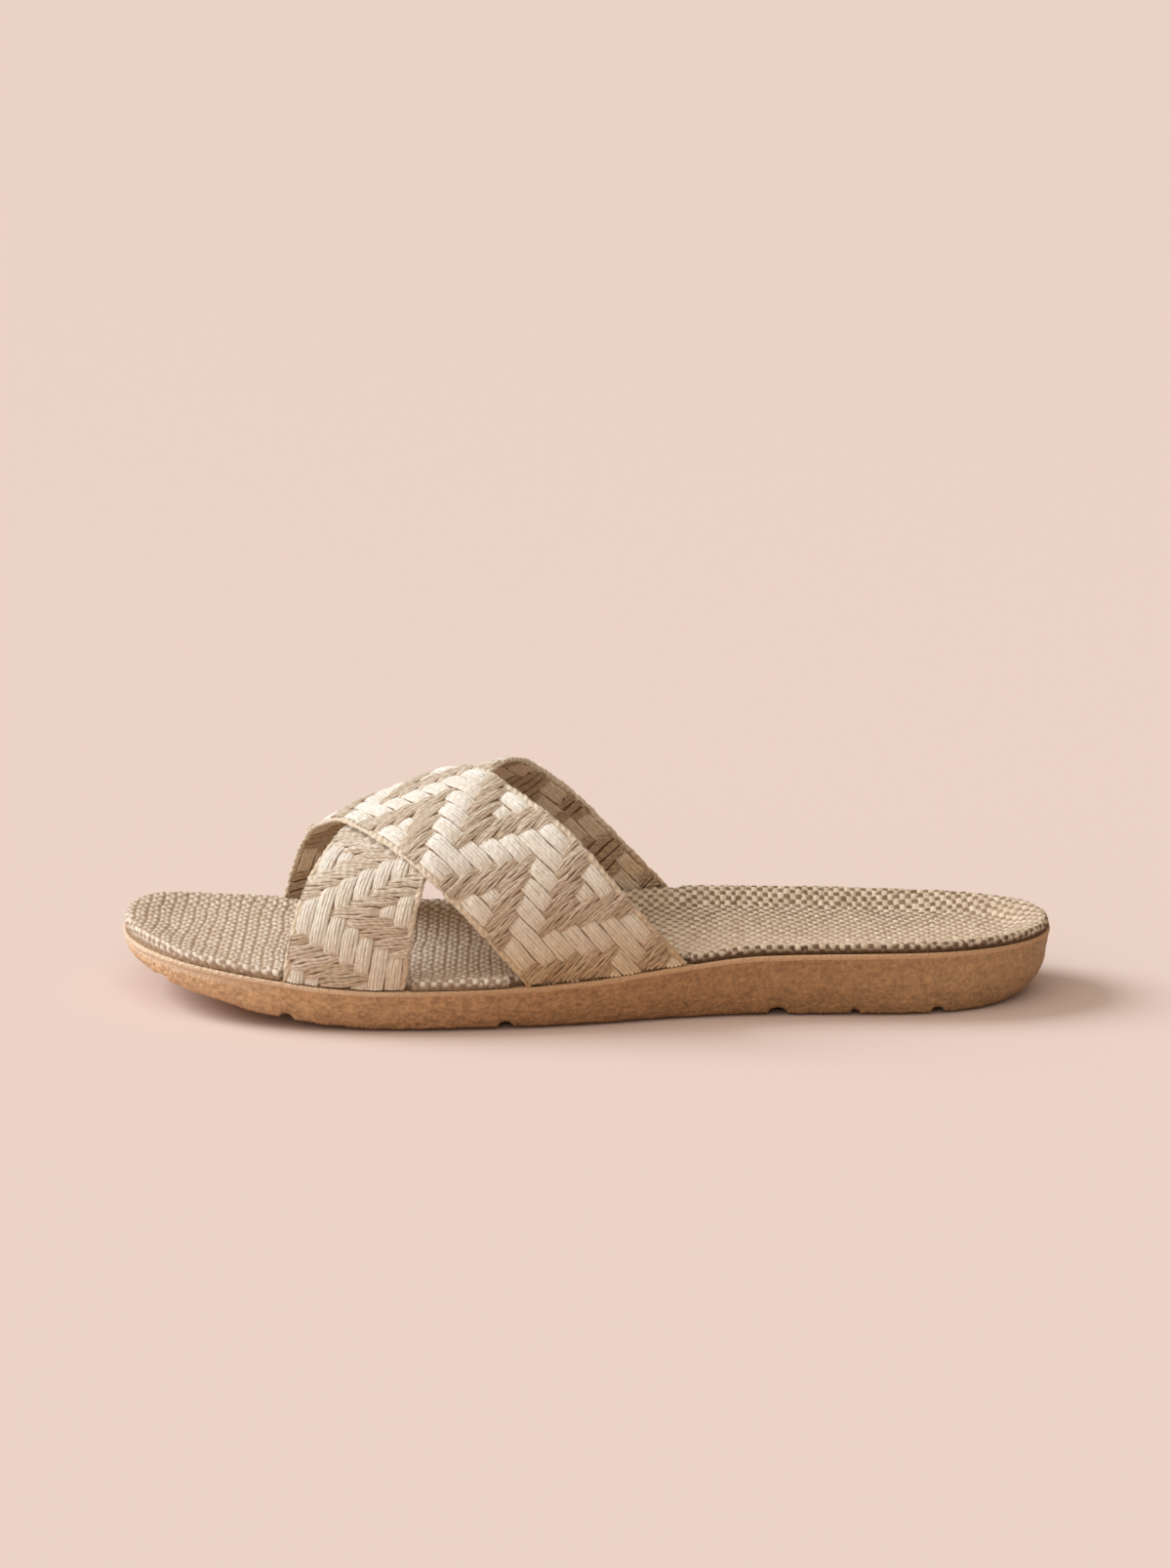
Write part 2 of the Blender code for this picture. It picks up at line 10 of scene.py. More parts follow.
import bpy
import numpy as np
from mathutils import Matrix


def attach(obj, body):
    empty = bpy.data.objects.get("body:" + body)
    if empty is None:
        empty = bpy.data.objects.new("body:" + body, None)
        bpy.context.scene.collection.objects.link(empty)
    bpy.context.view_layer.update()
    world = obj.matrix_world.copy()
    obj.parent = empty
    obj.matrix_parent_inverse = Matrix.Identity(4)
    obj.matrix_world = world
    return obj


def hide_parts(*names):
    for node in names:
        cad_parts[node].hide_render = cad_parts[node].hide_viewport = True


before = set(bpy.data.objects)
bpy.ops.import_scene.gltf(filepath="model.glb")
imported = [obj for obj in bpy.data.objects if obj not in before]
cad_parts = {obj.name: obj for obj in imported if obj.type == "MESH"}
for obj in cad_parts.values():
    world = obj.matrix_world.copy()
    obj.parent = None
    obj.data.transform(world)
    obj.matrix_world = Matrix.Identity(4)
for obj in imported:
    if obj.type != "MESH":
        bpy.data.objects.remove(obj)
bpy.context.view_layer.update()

MM = 0.001
# Room between the separate pieces.
GAP = 0.3

# Outer edge of the sole, seen from above.
OUTLINE = (
    # place, along, across
    ("heel_back", 0.7, 1.6),
    ("heel_back_outer", 6.4, -15.0),
    ("heel_outer", 28.0, -28.0),
    ("heel_front_outer", 60.0, -30.8),
    ("waist_outer", 94.0, -32.2),
    ("waist_front_outer", 128.0, -40.0),
    ("ball_outer", 178.0, -46.0),
    ("little_toe", 214.0, -42.2),
    ("toe_outer", 240.0, -31.0),
    ("toe_front", 254.6, -12.5),
    ("toe_tip", 259.8, 7.5),
    ("big_toe", 254.5, 28.2),
    ("toe_inner", 236.0, 36.6),
    ("ball_inner", 188.0, 43.6),
    ("waist_inner", 112.0, 32.3),
    ("heel_front_inner", 62.0, 33.6),
    ("heel_inner", 28.0, 29.6),
    ("heel_back_inner", 6.6, 17.8),
)
# The row where the outer side ends and the inner side starts.
TOE_ROW = 10

# Heights and insets of the sole, one row per section.
SECTION_COLUMNS = ("along", "bottom_z", "rim_outer_z", "rim_inner_z", "bottom_inset", "dish", "rise")
SECTIONS = (
    (0.0, 1.0, 18.6, 18.8, 6.7, 3.0, 2.9),
    (24.0, 0.0, 18.4, 18.5, 4.0, 3.5, 2.9),
    (40.0, 0.0, 18.4, 18.2, 3.5, 3.6, 2.9),
    (80.0, 0.0, 17.9, 19.1, 3.5, 3.4, 2.9),
    (105.0, 0.0, 15.7, 19.5, 3.5, 2.6, 2.9),
    (130.0, 0.0, 13.3, 17.1, 3.5, 1.9, 2.9),
    (155.0, 0.0, 12.2, 13.9, 3.5, 1.5, 2.9),
    (185.0, 0.0, 12.0, 12.4, 3.5, 1.3, 2.9),
    (200.0, 0.8, 12.6, 12.5, 3.5, 1.2, 2.9),
    (215.0, 2.6, 14.1, 13.7, 3.4, 1.2, 2.9),
    (235.0, 6.2, 15.9, 15.4, 3.2, 1.2, 3.2),
    (250.0, 8.8, 16.7, 16.3, 3.0, 1.2, 4.0),
    (260.0, 10.8, 16.7, 16.6, 3.0, 1.2, 4.7),
)
# Between these places across, the rim's height goes from the outer column to the inner one.
RIM_BLEND = (-30.0, 34.0)

# The lip at the top of the side: its height, and how far the side stands back under it. Away from the toe
# the side flares out again, between these shares of its height, so that no line shows there.
LIP_HEIGHT = 1.4
LIP_STEP = 0.6
LIP_FLARE = 0.42
FLARE_SHARE = (0.75, 1.0)
# The rounded lip: inset from the sole's edge and drop below the rim, and its tone, lighter than the rim as
# painted highlight.
LIP_ROUND = ((0.15, 1.28), (0.0, 1.0), (0.0, 0.45), (0.12, 0.12), (0.4, 0.0))
LIP_HIGHLIGHT_TONE = 0.55
# The rim beside the footbed, its width where a strap stands on it, and the recess that takes the footbed.
RIM_WIDTH = 1.0
RIM_AT_STRAP = 3.4
RECESS_DEPTH = 2.6
# The sole's mesh: stations on each side, columns across and rows up the side. Then the stations of the
# footbed's body, and the columns across its underside and its top.
SOLE_STATIONS = 880
SOLE_COLUMNS = 8
SIDE_ROWS = 32
BODY_STATIONS = 400
BODY_COLUMNS = (12, 24)

# The sole's side: share of the height below the lip, and share of the inset of the tread.
SIDE_PROFILE = (
    (0.00, 1.06),
    (0.04, 1.0),
    (0.14, 0.74),
    (0.30, 0.40),
    (0.55, 0.11),
    (1.00, 0.0),
)
# The lower edge of the side stands this far above the tread, and the tread this far inside it.
EDGE_RISE = 0.9
TREAD_INSET = 3.0
# Teeth of the lower edge: pitch, length over which it wanders, and depth at the heel and at the toe.
TOOTH_PITCH = 1.25
TOOTH_WANDER = 3.1
TOOTH_DEPTH = (0.34, 0.55)
# Crumbs of the crepe: two sizes of them, and how far they stand out at the heel and at the toe.
CREPE_SIZE = (1.15, 2.6)
CREPE_DEPTH = (0.10, 0.26)
# Between these places along, teeth and crumbs change from the heel's to the toe's.
TOEWARD = (150.0, 230.0)
# The toe has a smooth pale band under its lip, coloured like the lip: partly paler rubber, partly painted
# highlight. It starts and is full at these shares of the side's height, and at these places along.
BAND_SHARE = (0.70, 0.84)
BAND_FROM = (205.0, 245.0)

# Grooves across the tread.
GROOVES = (
    # along, width, depth
    (33.7, 3.6, 1.4),
    (56.4, 2.8, 1.1),
    (77.5, 5.2, 1.8),
    (151.9, 4.2, 1.5),
    (211.1, 3.8, 1.4),
    (246.1, 3.4, 1.2),
)

# The footbed's top is hollowed, to its full depth this far inside the edge.
DISH_REACH = 13.0
# The footbed stands back from the straps: up to this height of a strap, with this room beside it.
NOTCH_HEIGHT = 3.2
NOTCH_ROOM = 0.5

# The footbed's cloth: size of a cell of the weave along and across the shoe, and grid steps in each.
CLOTH_ALONG = 1.56
CLOTH_ACROSS = 2.20
CLOTH_STEPS = (4, 5)
# Cells along each of the cloth's pieces, cells behind the heel, and cells on each side of the middle.
PIECE_CELLS = 58
HEEL_CELLS = 2
HALF_CELLS = 23
# The cloth's ground lies this far below the footbed's top, and turns down at the edge on this radius.
CLOTH_LOW = 0.45
CLOTH_ROUND = 0.9
# Heights of the pale and the brown yarns above it. A yarn goes down over this many half cells.
LIGHT_CROWN = 0.54
DARK_CROWN = 0.48
FLOAT_REACH = 1.2
# The cloth reaches over the rim at the heel, up to these places along, and at the toe, from these on.
HEEL_REACH = 0.8
HEEL_UP_TO = (4.0, 22.0)
TOE_REACH = 0.5
TOE_FROM = (222.0, 250.0)
# The cloth is gathered where it turns down: its weave goes on by this much more for each millimetre.
EDGE_GATHER = 0.55
# From under the straps to the toe the cloth is ribbed across: a line after every second yarn, with its
# width in yarns and its depth.
RIBBED_FROM = (115.0, 150.0)
RIB_LINE = 0.24
RIB_DEPTH = 0.22

# Inside of the upper: height and place of the highest point of each section.
LAST_COLUMNS = ("along", "apex_z", "apex_across")
LAST = (
    (90.0, 69.3, 6.7),
    (110.0, 70.3, 6.7),
    (130.0, 68.2, 6.7),
    (145.0, 63.9, 6.7),
    (158.0, 60.4, 6.7),
    (170.0, 56.2, 6.7),
    (185.0, 50.1, 6.7),
    (200.0, 44.9, 6.7),
    (215.0, 38.2, 6.7),
    (230.0, 30.0, 6.7),
)
# The power of its sections, 2 for an ellipse, the part of the shoe that it spans, the nodes of its grid
# along and around, and the points that a section is measured with.
LAST_ROUND = 2.03
LAST_RANGE = (80.0, 240.0)
LAST_GRID = (81, 161)
LAST_TURNS = 721

# Centre lines of the straps: the share of the girth from the inner foot to the outer foot, and along.
STRAP_COLUMNS = ("share", "top_along", "under_along")
STRAPS = (
    (0.00, 202.0, 126.7),
    (0.25, 192.7, 156.7),
    (0.50, 178.7, 175.7),
    (0.75, 152.4, 189.2),
    (1.00, 123.2, 195.4),
)
# The lines go on beyond the feet: first and last share, and number of points.
LINE_SHARES = (-0.3, 1.3, 641)
# Width of a strap, and the part of it that each edge cord takes.
STRAP_WIDTH = 34.6
EDGE_CORD = 1.6
# The feet stand this far inside the sole's edge, and are looked for this far around a centre line's ends,
# with these points along and across a foot, and along a whole strap.
FOOT_INSET = 3.2
FOOT_RUN = 26.0
FOOT_POINTS = (261, 9)
STRAP_POINTS = 900
# The top strap is lifted where it crosses the other one, and comes down beside it over this distance.
TOP_LIFT = 2.3
LIFT_FALL = 13.0
# The weave: lengthwise strips, pitch of the cross strips, and a place on each strap where the step turns.
STRIPS = 7
CROSS_PITCH = 2.87
CHEVRON = {"top": 31.7, "under": 43.8}
STRIP_PITCH = (STRAP_WIDTH - 2 * EDGE_CORD) / STRIPS

# Heights above the last: both faces of the thin backing, the middle of the yarns, and how far they swing.
CORE = (1.34, 1.56)
YARN_MIDDLE = 1.45
YARN_SWING = 0.5
# The backing stays this far inside the strap's edges. Its mesh has these rows and columns.
CORE_MARGIN = 0.6
CORE_GRID = (150, 25)
# Yarns of a lengthwise strip and of a cross strip, and half their width and thickness.
STRIP_YARNS = 5
STRIP_YARN_SIZE = (0.57, 0.50)
CROSS_YARNS = 4
CROSS_YARN_SIZE = (0.46, 0.46)
# The yarns' mesh: distance of its rings, and sides. Lengthwise yarns and cords stop short of the foot.
YARN_STEP = 0.75
YARN_SIDES = 6
YARN_END = 0.1
# Edge cords: half their width and thickness, length of a twist, distance of the rings, and sides.
CORD_SIZE = (0.95, 0.72)
CORD_TWIST = 2.3
CORD_STEP = 0.32
CORD_SIDES = 10

# Camera, as fitted to the photograph: degrees above the floor, metres away, degrees of dip, place along,
# lens and sensor in millimetres, and how far it sees.
CAMERA_ELEVATION = 16.0
CAMERA_DISTANCE = 1.220
CAMERA_DIP = 13.31
CAMERA_ALONG = 130.14
CAMERA_LENS = 100.0
CAMERA_SENSOR = 36.0
CAMERA_REACH = 60.0

# Lights: strength, spread in degrees, colour, degrees above the floor, and degrees by which each is
# turned from the toe's side to the camera.
LIGHTS = {
    "key": (2.5, 32.0, (0.92, 1.0, 1.07), 36.0, -17.0),
    "fill": (1.38, 96.0, (1.0, 0.95, 0.88), 50.0, 60.0),
}
WORLD_COLOUR = (1.0, 0.78, 0.58, 1.0)
WORLD_STRENGTH = 0.29
FLOOR_COLOUR = (0.792, 0.645, 0.586, 1.0)
FLOOR_CORNERS = ((-14, -6, 0), (14, -6, 0), (14, 22, 0), (-14, 22, 0))

# Tints of the yarns: none, and the painted warm shade low at the straps' feet.
WHITE = (1.0, 1.0, 1.0, 1.0)
PAINTED_WARM_SHADE_TINT = (0.72, 0.54, 0.36, 1.0)


def smooth(low, high, value):
    """Soft step from 0 at low to 1 at high."""
    t = np.clip((np.asarray(value, float) - low) / (high - low), 0.0, 1.0)
    return t * t * (3.0 - 2.0 * t)


def column(rows, names, name):
    """One named column of a table."""
    return np.array([row[names.index(name)] for row in rows], float)


def monotone(x, y, at):
    """Smooth curve through a table that never overshoots its rows."""
    step = np.diff(x)
    slope = np.diff(y) / step
    tangent = np.zeros(len(x))
    tangent[0] = slope[0]
    tangent[-1] = slope[-1]
    for i in range(1, len(x) - 1):
        if slope[i - 1] * slope[i] > 0:
            before = 2 * step[i] + step[i - 1]
            after = step[i] + 2 * step[i - 1]
            tangent[i] = (before + after) / (before / slope[i - 1] + after / slope[i])
    at = np.clip(at, x[0], x[-1])
    i = np.clip(np.searchsorted(x, at) - 1, 0, len(x) - 2)
    t = (at - x[i]) / step[i]
    value = y[i] * (1 + 2 * t) * (1 - t) ** 2 + y[i + 1] * t * t * (3 - 2 * t)
    return value + step[i] * (tangent[i] * t * (1 - t) ** 2 + tangent[i + 1] * t * t * (t - 1))


def cubic(ends, bends, step, u):
    """Value at u in a span of length step, from the values and the second slopes at its two ends."""
    v = step - u
    value = (bends[0] * v**3 + bends[1] * u**3) / (6 * step)
    value += (ends[0] / step - bends[0] * step / 6) * v
    return value + (ends[1] / step - bends[1] * step / 6) * u


def spline(x, y, at):
    """Natural cubic spline through a table, straight beyond its ends."""
    n = len(x)
    step = np.diff(x)
    matrix = np.eye(n)
    right = np.zeros(n)
    for i in range(1, n - 1):
        matrix[i, i - 1 : i + 2] = step[i - 1], 2 * (step[i - 1] + step[i]), step[i]
        right[i] = 6 * ((y[i + 1] - y[i]) / step[i] - (y[i] - y[i - 1]) / step[i - 1])
    bend = np.linalg.solve(matrix, right)
    inside = np.clip(at, x[0], x[-1])
    i = np.clip(np.searchsorted(x, inside) - 1, 0, n - 2)
    value = cubic((y[i], y[i + 1]), (bend[i], bend[i + 1]), step[i], inside - x[i])
    first = (y[1] - y[0]) / step[0] - step[0] * bend[1] / 6
    last = (y[-1] - y[-2]) / step[-1] + step[-1] * bend[-2] / 6
    return value + np.minimum(at - x[0], 0) * first + np.maximum(at - x[-1], 0) * last


def closed_spline(points, per_span):
    """Smooth closed curve through points, sampled per_span times in each span."""
    p = np.asarray(points, float)
    n = len(p)
    h = np.linalg.norm(np.roll(p, -1, 0) - p, axis=1) ** 0.5
    matrix = np.zeros((n, n))
    right = np.zeros((n, 2))
    for i in range(n):
        j = (i + 1) % n
        matrix[i, i - 1] += h[i - 1]
        matrix[i, i] += 2 * (h[i - 1] + h[i])
        matrix[i, j] += h[i]
        right[i] = 6 * ((p[j] - p[i]) / h[i] - (p[i] - p[i - 1]) / h[i - 1])
    bend = np.linalg.solve(matrix, right)
    spans = []
    for i in range(n):
        j = (i + 1) % n
        u = np.linspace(0, h[i], per_span, endpoint=False)[:, None]
        spans.append(cubic((p[i], p[j]), (bend[i], bend[j]), h[i], u))
    return np.concatenate(spans)


def distances(line):
    """Distance of each point of a polyline from its first one, measured along it."""
    return np.concatenate([[0], np.cumsum(np.linalg.norm(np.diff(line, axis=0), axis=1))])


def even_steps(line, count):
    """An open polyline resampled to count + 1 points an equal distance apart."""
    run = distances(line)
    at = np.linspace(0, run[-1], count + 1)
    return np.stack([np.interp(at, run, line[:, i]) for i in range(2)], 1)


def section(name, along):
    """A column of the section table at along."""
    x = column(SECTIONS, SECTION_COLUMNS, "along")
    return monotone(x, column(SECTIONS, SECTION_COLUMNS, name), along)


def rim_z(along, across):
    """Height of the rim, and of the surface it would span across the sole."""
    inner = smooth(*RIM_BLEND, across)
    return section("rim_outer_z", along) * (1 - inner) + section("rim_inner_z", along) * inner


def below_rim(drop):
    """A height function: that far below the rim."""
    return lambda along, across: rim_z(along, across) - drop


PER_SPAN = 40
EDGE = closed_spline([row[1:] for row in OUTLINE], PER_SPAN)
OUTER_SIDE = EDGE[: TOE_ROW * PER_SPAN + 1]
INNER_SIDE = np.concatenate([EDGE[TOE_ROW * PER_SPAN :], EDGE[:1]])[::-1]
ALONG_MIDDLE = 0.5 * (EDGE[:, 0].min() + EDGE[:, 0].max())
ACROSS_MIDDLE = 0.5 * (EDGE[:, 1].min() + EDGE[:, 1].max())


def row_frame(points):
    """Table coordinates (along, across, z) in millimetres to the row frame in metres."""
    p = np.asarray(points, float)
    moved = np.stack([ALONG_MIDDLE - p[..., 0], p[..., 1] - ACROSS_MIDDLE, p[..., 2]], -1)
    return moved * MM


def sole_loop(stations):
    """The sole's edge as a closed loop: the outer side from heel to toe, then the inner side back."""
    outer = even_steps(OUTER_SIDE, stations)
    inner = even_steps(INNER_SIDE, stations)
    return np.concatenate([outer, inner[-2:0:-1]])


def inwards(loop):
    """Unit normals of a closed loop, pointing into it."""
    tangent = np.roll(loop, -1, 0) - np.roll(loop, 1, 0)
    tangent /= np.linalg.norm(tangent, axis=1)[:, None]
    normal = np.stack([tangent[:, 1], -tangent[:, 0]], 1)
    if ((loop.mean(0) - loop) * normal).sum() < 0:
        normal = -normal
    return normal


def inset_ring(loop, distance, height):
    """A closed loop moved inwards by a distance, at height(along, across)."""
    flat = loop + inwards(loop) * np.broadcast_to(distance, len(loop))[:, None]
    z = np.broadcast_to(height(flat[:, 0], flat[:, 1]), len(loop))
    return np.column_stack([flat, z])


def both_sides(loop):
    """The outer and the inner half of a sole loop, both from heel to toe."""
    half = len(loop) // 2
    return loop[: half + 1], np.concatenate([loop[:1], loop[half:][::-1]])


def edge_field(along, across, edge):
    """Distance of places from a sole loop, positive inside it, and the unit direction inwards."""
    ahead = np.roll(edge, -1, 0) - edge
    length = (ahead**2).sum(1)
    outer, inner = both_sides(edge)
    distance = np.zeros(along.shape)
    inward = np.zeros(along.shape + (2,))
    for k in range(len(along)):
        place = np.stack([along[k], across[k]], -1)
        near = ((place[:, None, :] - edge) ** 2).sum(-1).argmin(1)
        best = np.full(len(place), np.inf)
        for i in (near, near - 1):
            share = np.clip(((place - edge[i]) * ahead[i]).sum(1) / length[i], 0, 1)
            gap = place - edge[i] - ahead[i] * share[:, None]
            far = np.sqrt((gap**2).sum(1))
            closer = far < best
            best = np.where(closer, far, best)
            inward[k][closer] = (gap / np.maximum(far, 1e-6)[:, None])[closer]
        low = np.interp(along[k], outer[:, 0], outer[:, 1])
        high = np.interp(along[k], inner[:, 0], inner[:, 1])
        within = (along[k] > outer[0, 0]) & (along[k] < outer[-1, 0])
        side = np.where(within & (across[k] > low) & (across[k] < high), 1.0, -1.0)
        distance[k] = best * side
        inward[k] *= side[:, None]
    return distance, inward


def hashed(*numbers):
    """A fixed value between 0 and 1 for each set of numbers."""
    mix = sum(np.asarray(n, float) * w for n, w in zip(numbers, (12.9898, 78.233, 37.719, 9.131)))
    return np.mod(np.abs(np.sin(mix) * 43758.5453), 1.0)


def value_noise(points, size, seed):
    """Smooth noise from -1 to 1 with features of the given size."""
    p = np.asarray(points, float) / size
    cell = np.floor(p)
    t = p - cell
    t = t * t * (3 - 2 * t)
    total = np.zeros(p.shape[:-1])
    for corner in range(8):
        step = np.array([corner & 1, corner >> 1 & 1, corner >> 2 & 1])
        weight = np.prod(np.where(step, t, 1 - t), axis=-1)
        node = cell + step
        total += weight * hashed(node[..., 0], node[..., 1], node[..., 2], seed)
    return 2 * total - 1


def add_to_scene(name, data):
    """A new object of the scene."""
    thing = bpy.data.objects.new(name, data)
    bpy.context.scene.collection.objects.link(thing)
    return thing


class Part:
    """Collects the vertices, faces and face coordinates of one visible piece."""

    def __init__(self):
        self.points = []
        self.faces = []
        self.uv = []
        self.tone = []
        self.inside = []
        self.count = 0

    def grid(self, points, uv=None, tone=0.5, inside=0.0, wrap=False):
        """A grid of points as quads. uv gives u per row and v per column, wrap closes the columns."""
        rows, columns = points.shape[:2]
        first = self.count
        self.points.append(points.reshape(-1, 3))
        self.tone.append(np.broadcast_to(tone, (rows, columns)).ravel())
        self.inside.append(np.broadcast_to(inside, (rows, columns)).ravel())
        self.count += rows * columns
        numbers = np.arange(first, self.count).reshape(rows, columns)
        spans = columns if wrap else columns - 1
        r, c = np.meshgrid(np.arange(rows - 1), np.arange(spans), indexing="ij")
        corners = ((r, c), (r, c + 1), (r + 1, c + 1), (r + 1, c))
        quads = np.stack([numbers[i, j % columns] for i, j in corners], -1)
        self.faces.extend(quads.reshape(-1, 4).tolist())
        if uv is not None:
            u, v = uv
            around = np.append(v, 1.0) if wrap else v
            places = [np.stack([u[i], around[j]], -1) for i, j in corners]
            self.uv.append(np.stack(places, -2).reshape(-1, 2))
        return numbers

    def tube(self, points, uv=None, tone=0.5, inside=0.0):
        """A grid with its columns closed and a face over each end."""
        numbers = self.grid(points, uv, tone, inside, wrap=True)
        for end in (numbers[0], numbers[-1][::-1]):
            self.faces.append(end.tolist())
            if uv is not None:
                self.uv.append(np.zeros((len(end), 2)))

    def make(self, name, material, node=None):
        """Makes the object, riding on the sandal's one body."""
        mesh = bpy.data.meshes.new(name)
        mesh.from_pydata(row_frame(np.concatenate(self.points)).tolist(), [], self.faces)
        mesh.polygons.foreach_set("use_smooth", [True] * len(mesh.polygons))
        if self.uv:
            layer = mesh.uv_layers.new(name="yarn")
            layer.data.foreach_set("uv", np.concatenate(self.uv).ravel())
        for key, values in (("tone", self.tone), ("inside", self.inside)):
            layer = mesh.attributes.new(key, "FLOAT", "POINT")
            layer.data.foreach_set("value", np.concatenate(values).astype(np.float32))
        mesh.materials.append(material)
        mesh.update()
        piece = add_to_scene(name, mesh)
        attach(piece, "root")
        if node:
            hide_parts(node)


class Nodes:
    """Short way to write a material's nodes."""

    def __init__(self, name):
        self.material = bpy.data.materials.new(name)
        self.material.use_nodes = True
        self.tree = self.material.node_tree
        self.shader = self.tree.nodes["Principled BSDF"]

    def add(self, kind, values=None, **settings):
        """A node with its settings, and its inputs given as numbers, colours or other nodes' outputs."""
        node = self.tree.nodes.new(kind)
        for key, value in settings.items():
            setattr(node, key, value)
        for key, value in (values or {}).items():
            self.put(node, key, value)
        return node

    def put(self, node, key, value):
        """Sets one input, or links it where the value is an output."""
        if isinstance(value, bpy.types.NodeSocket):
            self.tree.links.new(value, node.inputs[key])
        else:
            node.inputs[key].default_value = value

    def math(self, operation, first, second=0.0, third=0.0):
        """The result of a Math node."""
        values = {0: first, 1: second, 2: third}
        return self.add("ShaderNodeMath", values, operation=operation).outputs[0]

    def scaled(self, value, factor, rest=0.0):
        """A value times a factor, plus a rest."""
        return self.math("MULTIPLY_ADD", value, factor, rest)

    def fit(self, value, start, end, low, high):
        """A value carried from the range start to end to the range low to high, and held at its ends."""
        values = {0: value, 1: start, 2: end, 3: low, 4: high}
        return self.add("ShaderNodeMapRange", values).outputs[0]

    def place(self):
        """Coordinates on the piece, in metres."""
        return self.add("ShaderNodeTexCoord").outputs["Object"]

    def split(self, vector):
        """The three numbers of a vector."""
        return self.add("ShaderNodeSeparateXYZ", {0: vector}).outputs

    def stored(self, name):
        """A number stored at the points of the mesh."""
        return self.add("ShaderNodeAttribute", attribute_name=name).outputs["Fac"]

    def noise(self, where, scale, detail, rough):
        """Noise between 0 and 1."""
        values = {"Vector": where, "Scale": scale, "Detail": detail, "Roughness": rough}
        return self.add("ShaderNodeTexNoise", values).outputs["Fac"]

    def mix(self, share, first, second, blend="MIX"):
        """Two colours mixed."""
        values = {0: share, 6: first, 7: second}
        return self.add("ShaderNodeMix", values, data_type="RGBA", blend_type=blend).outputs[2]

    def shaded(self, colour, shade):
        """A colour multiplied by a shade of grey."""
        grey = self.add("ShaderNodeCombineColor", {0: shade, 1: shade, 2: shade}).outputs[0]
        return self.mix(1.0, colour, grey, "MULTIPLY")

    def ramp(self, value, stops):
        """A colour ramp through stops, each a place and a display colour."""
        node = self.add("ShaderNodeValToRGB", {0: value})
        elements = node.color_ramp.elements
        while len(elements) < len(stops):
            elements.new(0.5)
        for element, (place, *colour) in zip(elements, stops):
            element.position = place
            element.color = rgb(*colour)
        return node.outputs[0]

    def bump(self, height, strength, distance, below=None):
        """A bump normal from a height, on top of another one."""
        values = {"Height": height, "Strength": strength, "Distance": distance}
        if below is not None:
            values["Normal"] = below
        return self.add("ShaderNodeBump", values).outputs[0]

    def surface(self, **values):
        """Sets the shader's own inputs by name, with spaces written as _."""
        for key, value in values.items():
            self.put(self.shader, key.replace("_", " "), value)
        return self.material


def rgb(red, green, blue):
    """A display colour from 0 to 255 as a linear one."""
    value = np.array([red, green, blue]) / 255.0
    linear = np.where(value <= 0.04045, value / 12.92, ((value + 0.055) / 1.055) ** 2.4)
    return tuple(float(v) for v in linear) + (1.0,)


def yarn_material(name, pale, deep, inner, twist, ply):
    """Straw-like yarn: a tone of its own for each yarn, fibres along it, two plies that show as strongly
    as ply says, golden and darker towards the strap's feet as painted warm shade, and the inner colour
    inside the strap."""
    n = Nodes(name)
    place = n.place()
    x, _, z = n.split(place)
    length, around, _ = n.split(n.add("ShaderNodeUVMap", uv_map="yarn").outputs[0])
    tone = n.stored("tone")
    inside = n.stored("inside")
    turn = n.scaled(length, 1.0 / twist, n.scaled(around, 2.0))
    wave = n.scaled(n.math("SINE", n.scaled(turn, 2 * math.pi)), 0.5, 0.5)
    strand = {0: n.scaled(length, 0.38), 1: n.scaled(around, 10.0), 2: n.scaled(tone, 60.0)}
    fibre = n.noise(n.add("ShaderNodeCombineXYZ", strand).outputs[0], 1.6, 5.0, 0.65)
    fuzz = n.noise(place, 2400.0, 3.0, 0.6)
    fleck = n.noise(place, 850.0, 2.0, 0.5)
    patch = n.noise(place, 140.0, 3.0, 0.5)
    colour = n.mix(n.scaled(patch, 0.9, n.scaled(tone, 0.7, -0.30)), deep, pale)
    # Painted warm shade: golden and darker low on the straps, more so away from the toe.
    low = n.fit(z, 0.012, 0.047, 1.0, 0.0)
    rear = n.fit(x, -0.085, -0.015, 0.30, 1.0)
    golden = n.mix(n.scaled(low, rear), WHITE, PAINTED_WARM_SHADE_TINT)
    colour = n.mix(1.0, colour, golden, "MULTIPLY")
    colour = n.mix(inside, colour, n.mix(patch, inner, deep))
    contrast = 0.45 + 0.2 * ply
    shade = n.scaled(fibre, contrast, 0.90 - 0.09 * ply - 0.5 * contrast)
    shade = n.scaled(wave, 0.18 * ply, shade)
    shade = n.scaled(fuzz, 0.20, shade)
    shade = n.scaled(n.math("SUBTRACT", fleck, 0.5), 0.40, shade)
    height = n.scaled(fibre, 0.8 + 0.5 * ply, n.scaled(wave, 1.1 * ply))
    height = n.scaled(fuzz, 0.8, height)
    height = n.scaled(fleck, 1.2, height)
    return n.surface(
        Base_Color=n.shaded(colour, shade),
        Roughness=0.92,
        Normal=n.bump(height, 0.9, 0.0003),
        Specular_IOR_Level=0.08,
        Sheen_Weight=0.2,
    )


def core_material(name, outer, inner):
    """Plain backing, blotched: one colour outside and one inside."""
    n = Nodes(name)
    place = n.place()
    blot = n.noise(place, 110.0, 4.0, 0.6)
    grain = n.noise(place, 1500.0, 3.0, 0.6)
    return n.surface(
        Base_Color=n.shaded(n.mix(n.stored("inside"), outer, inner), n.scaled(blot, 0.8, 0.6)),
        Roughness=0.85,
        Normal=n.bump(grain, 0.5, 0.0003),
        Specular_IOR_Level=0.2,
    )


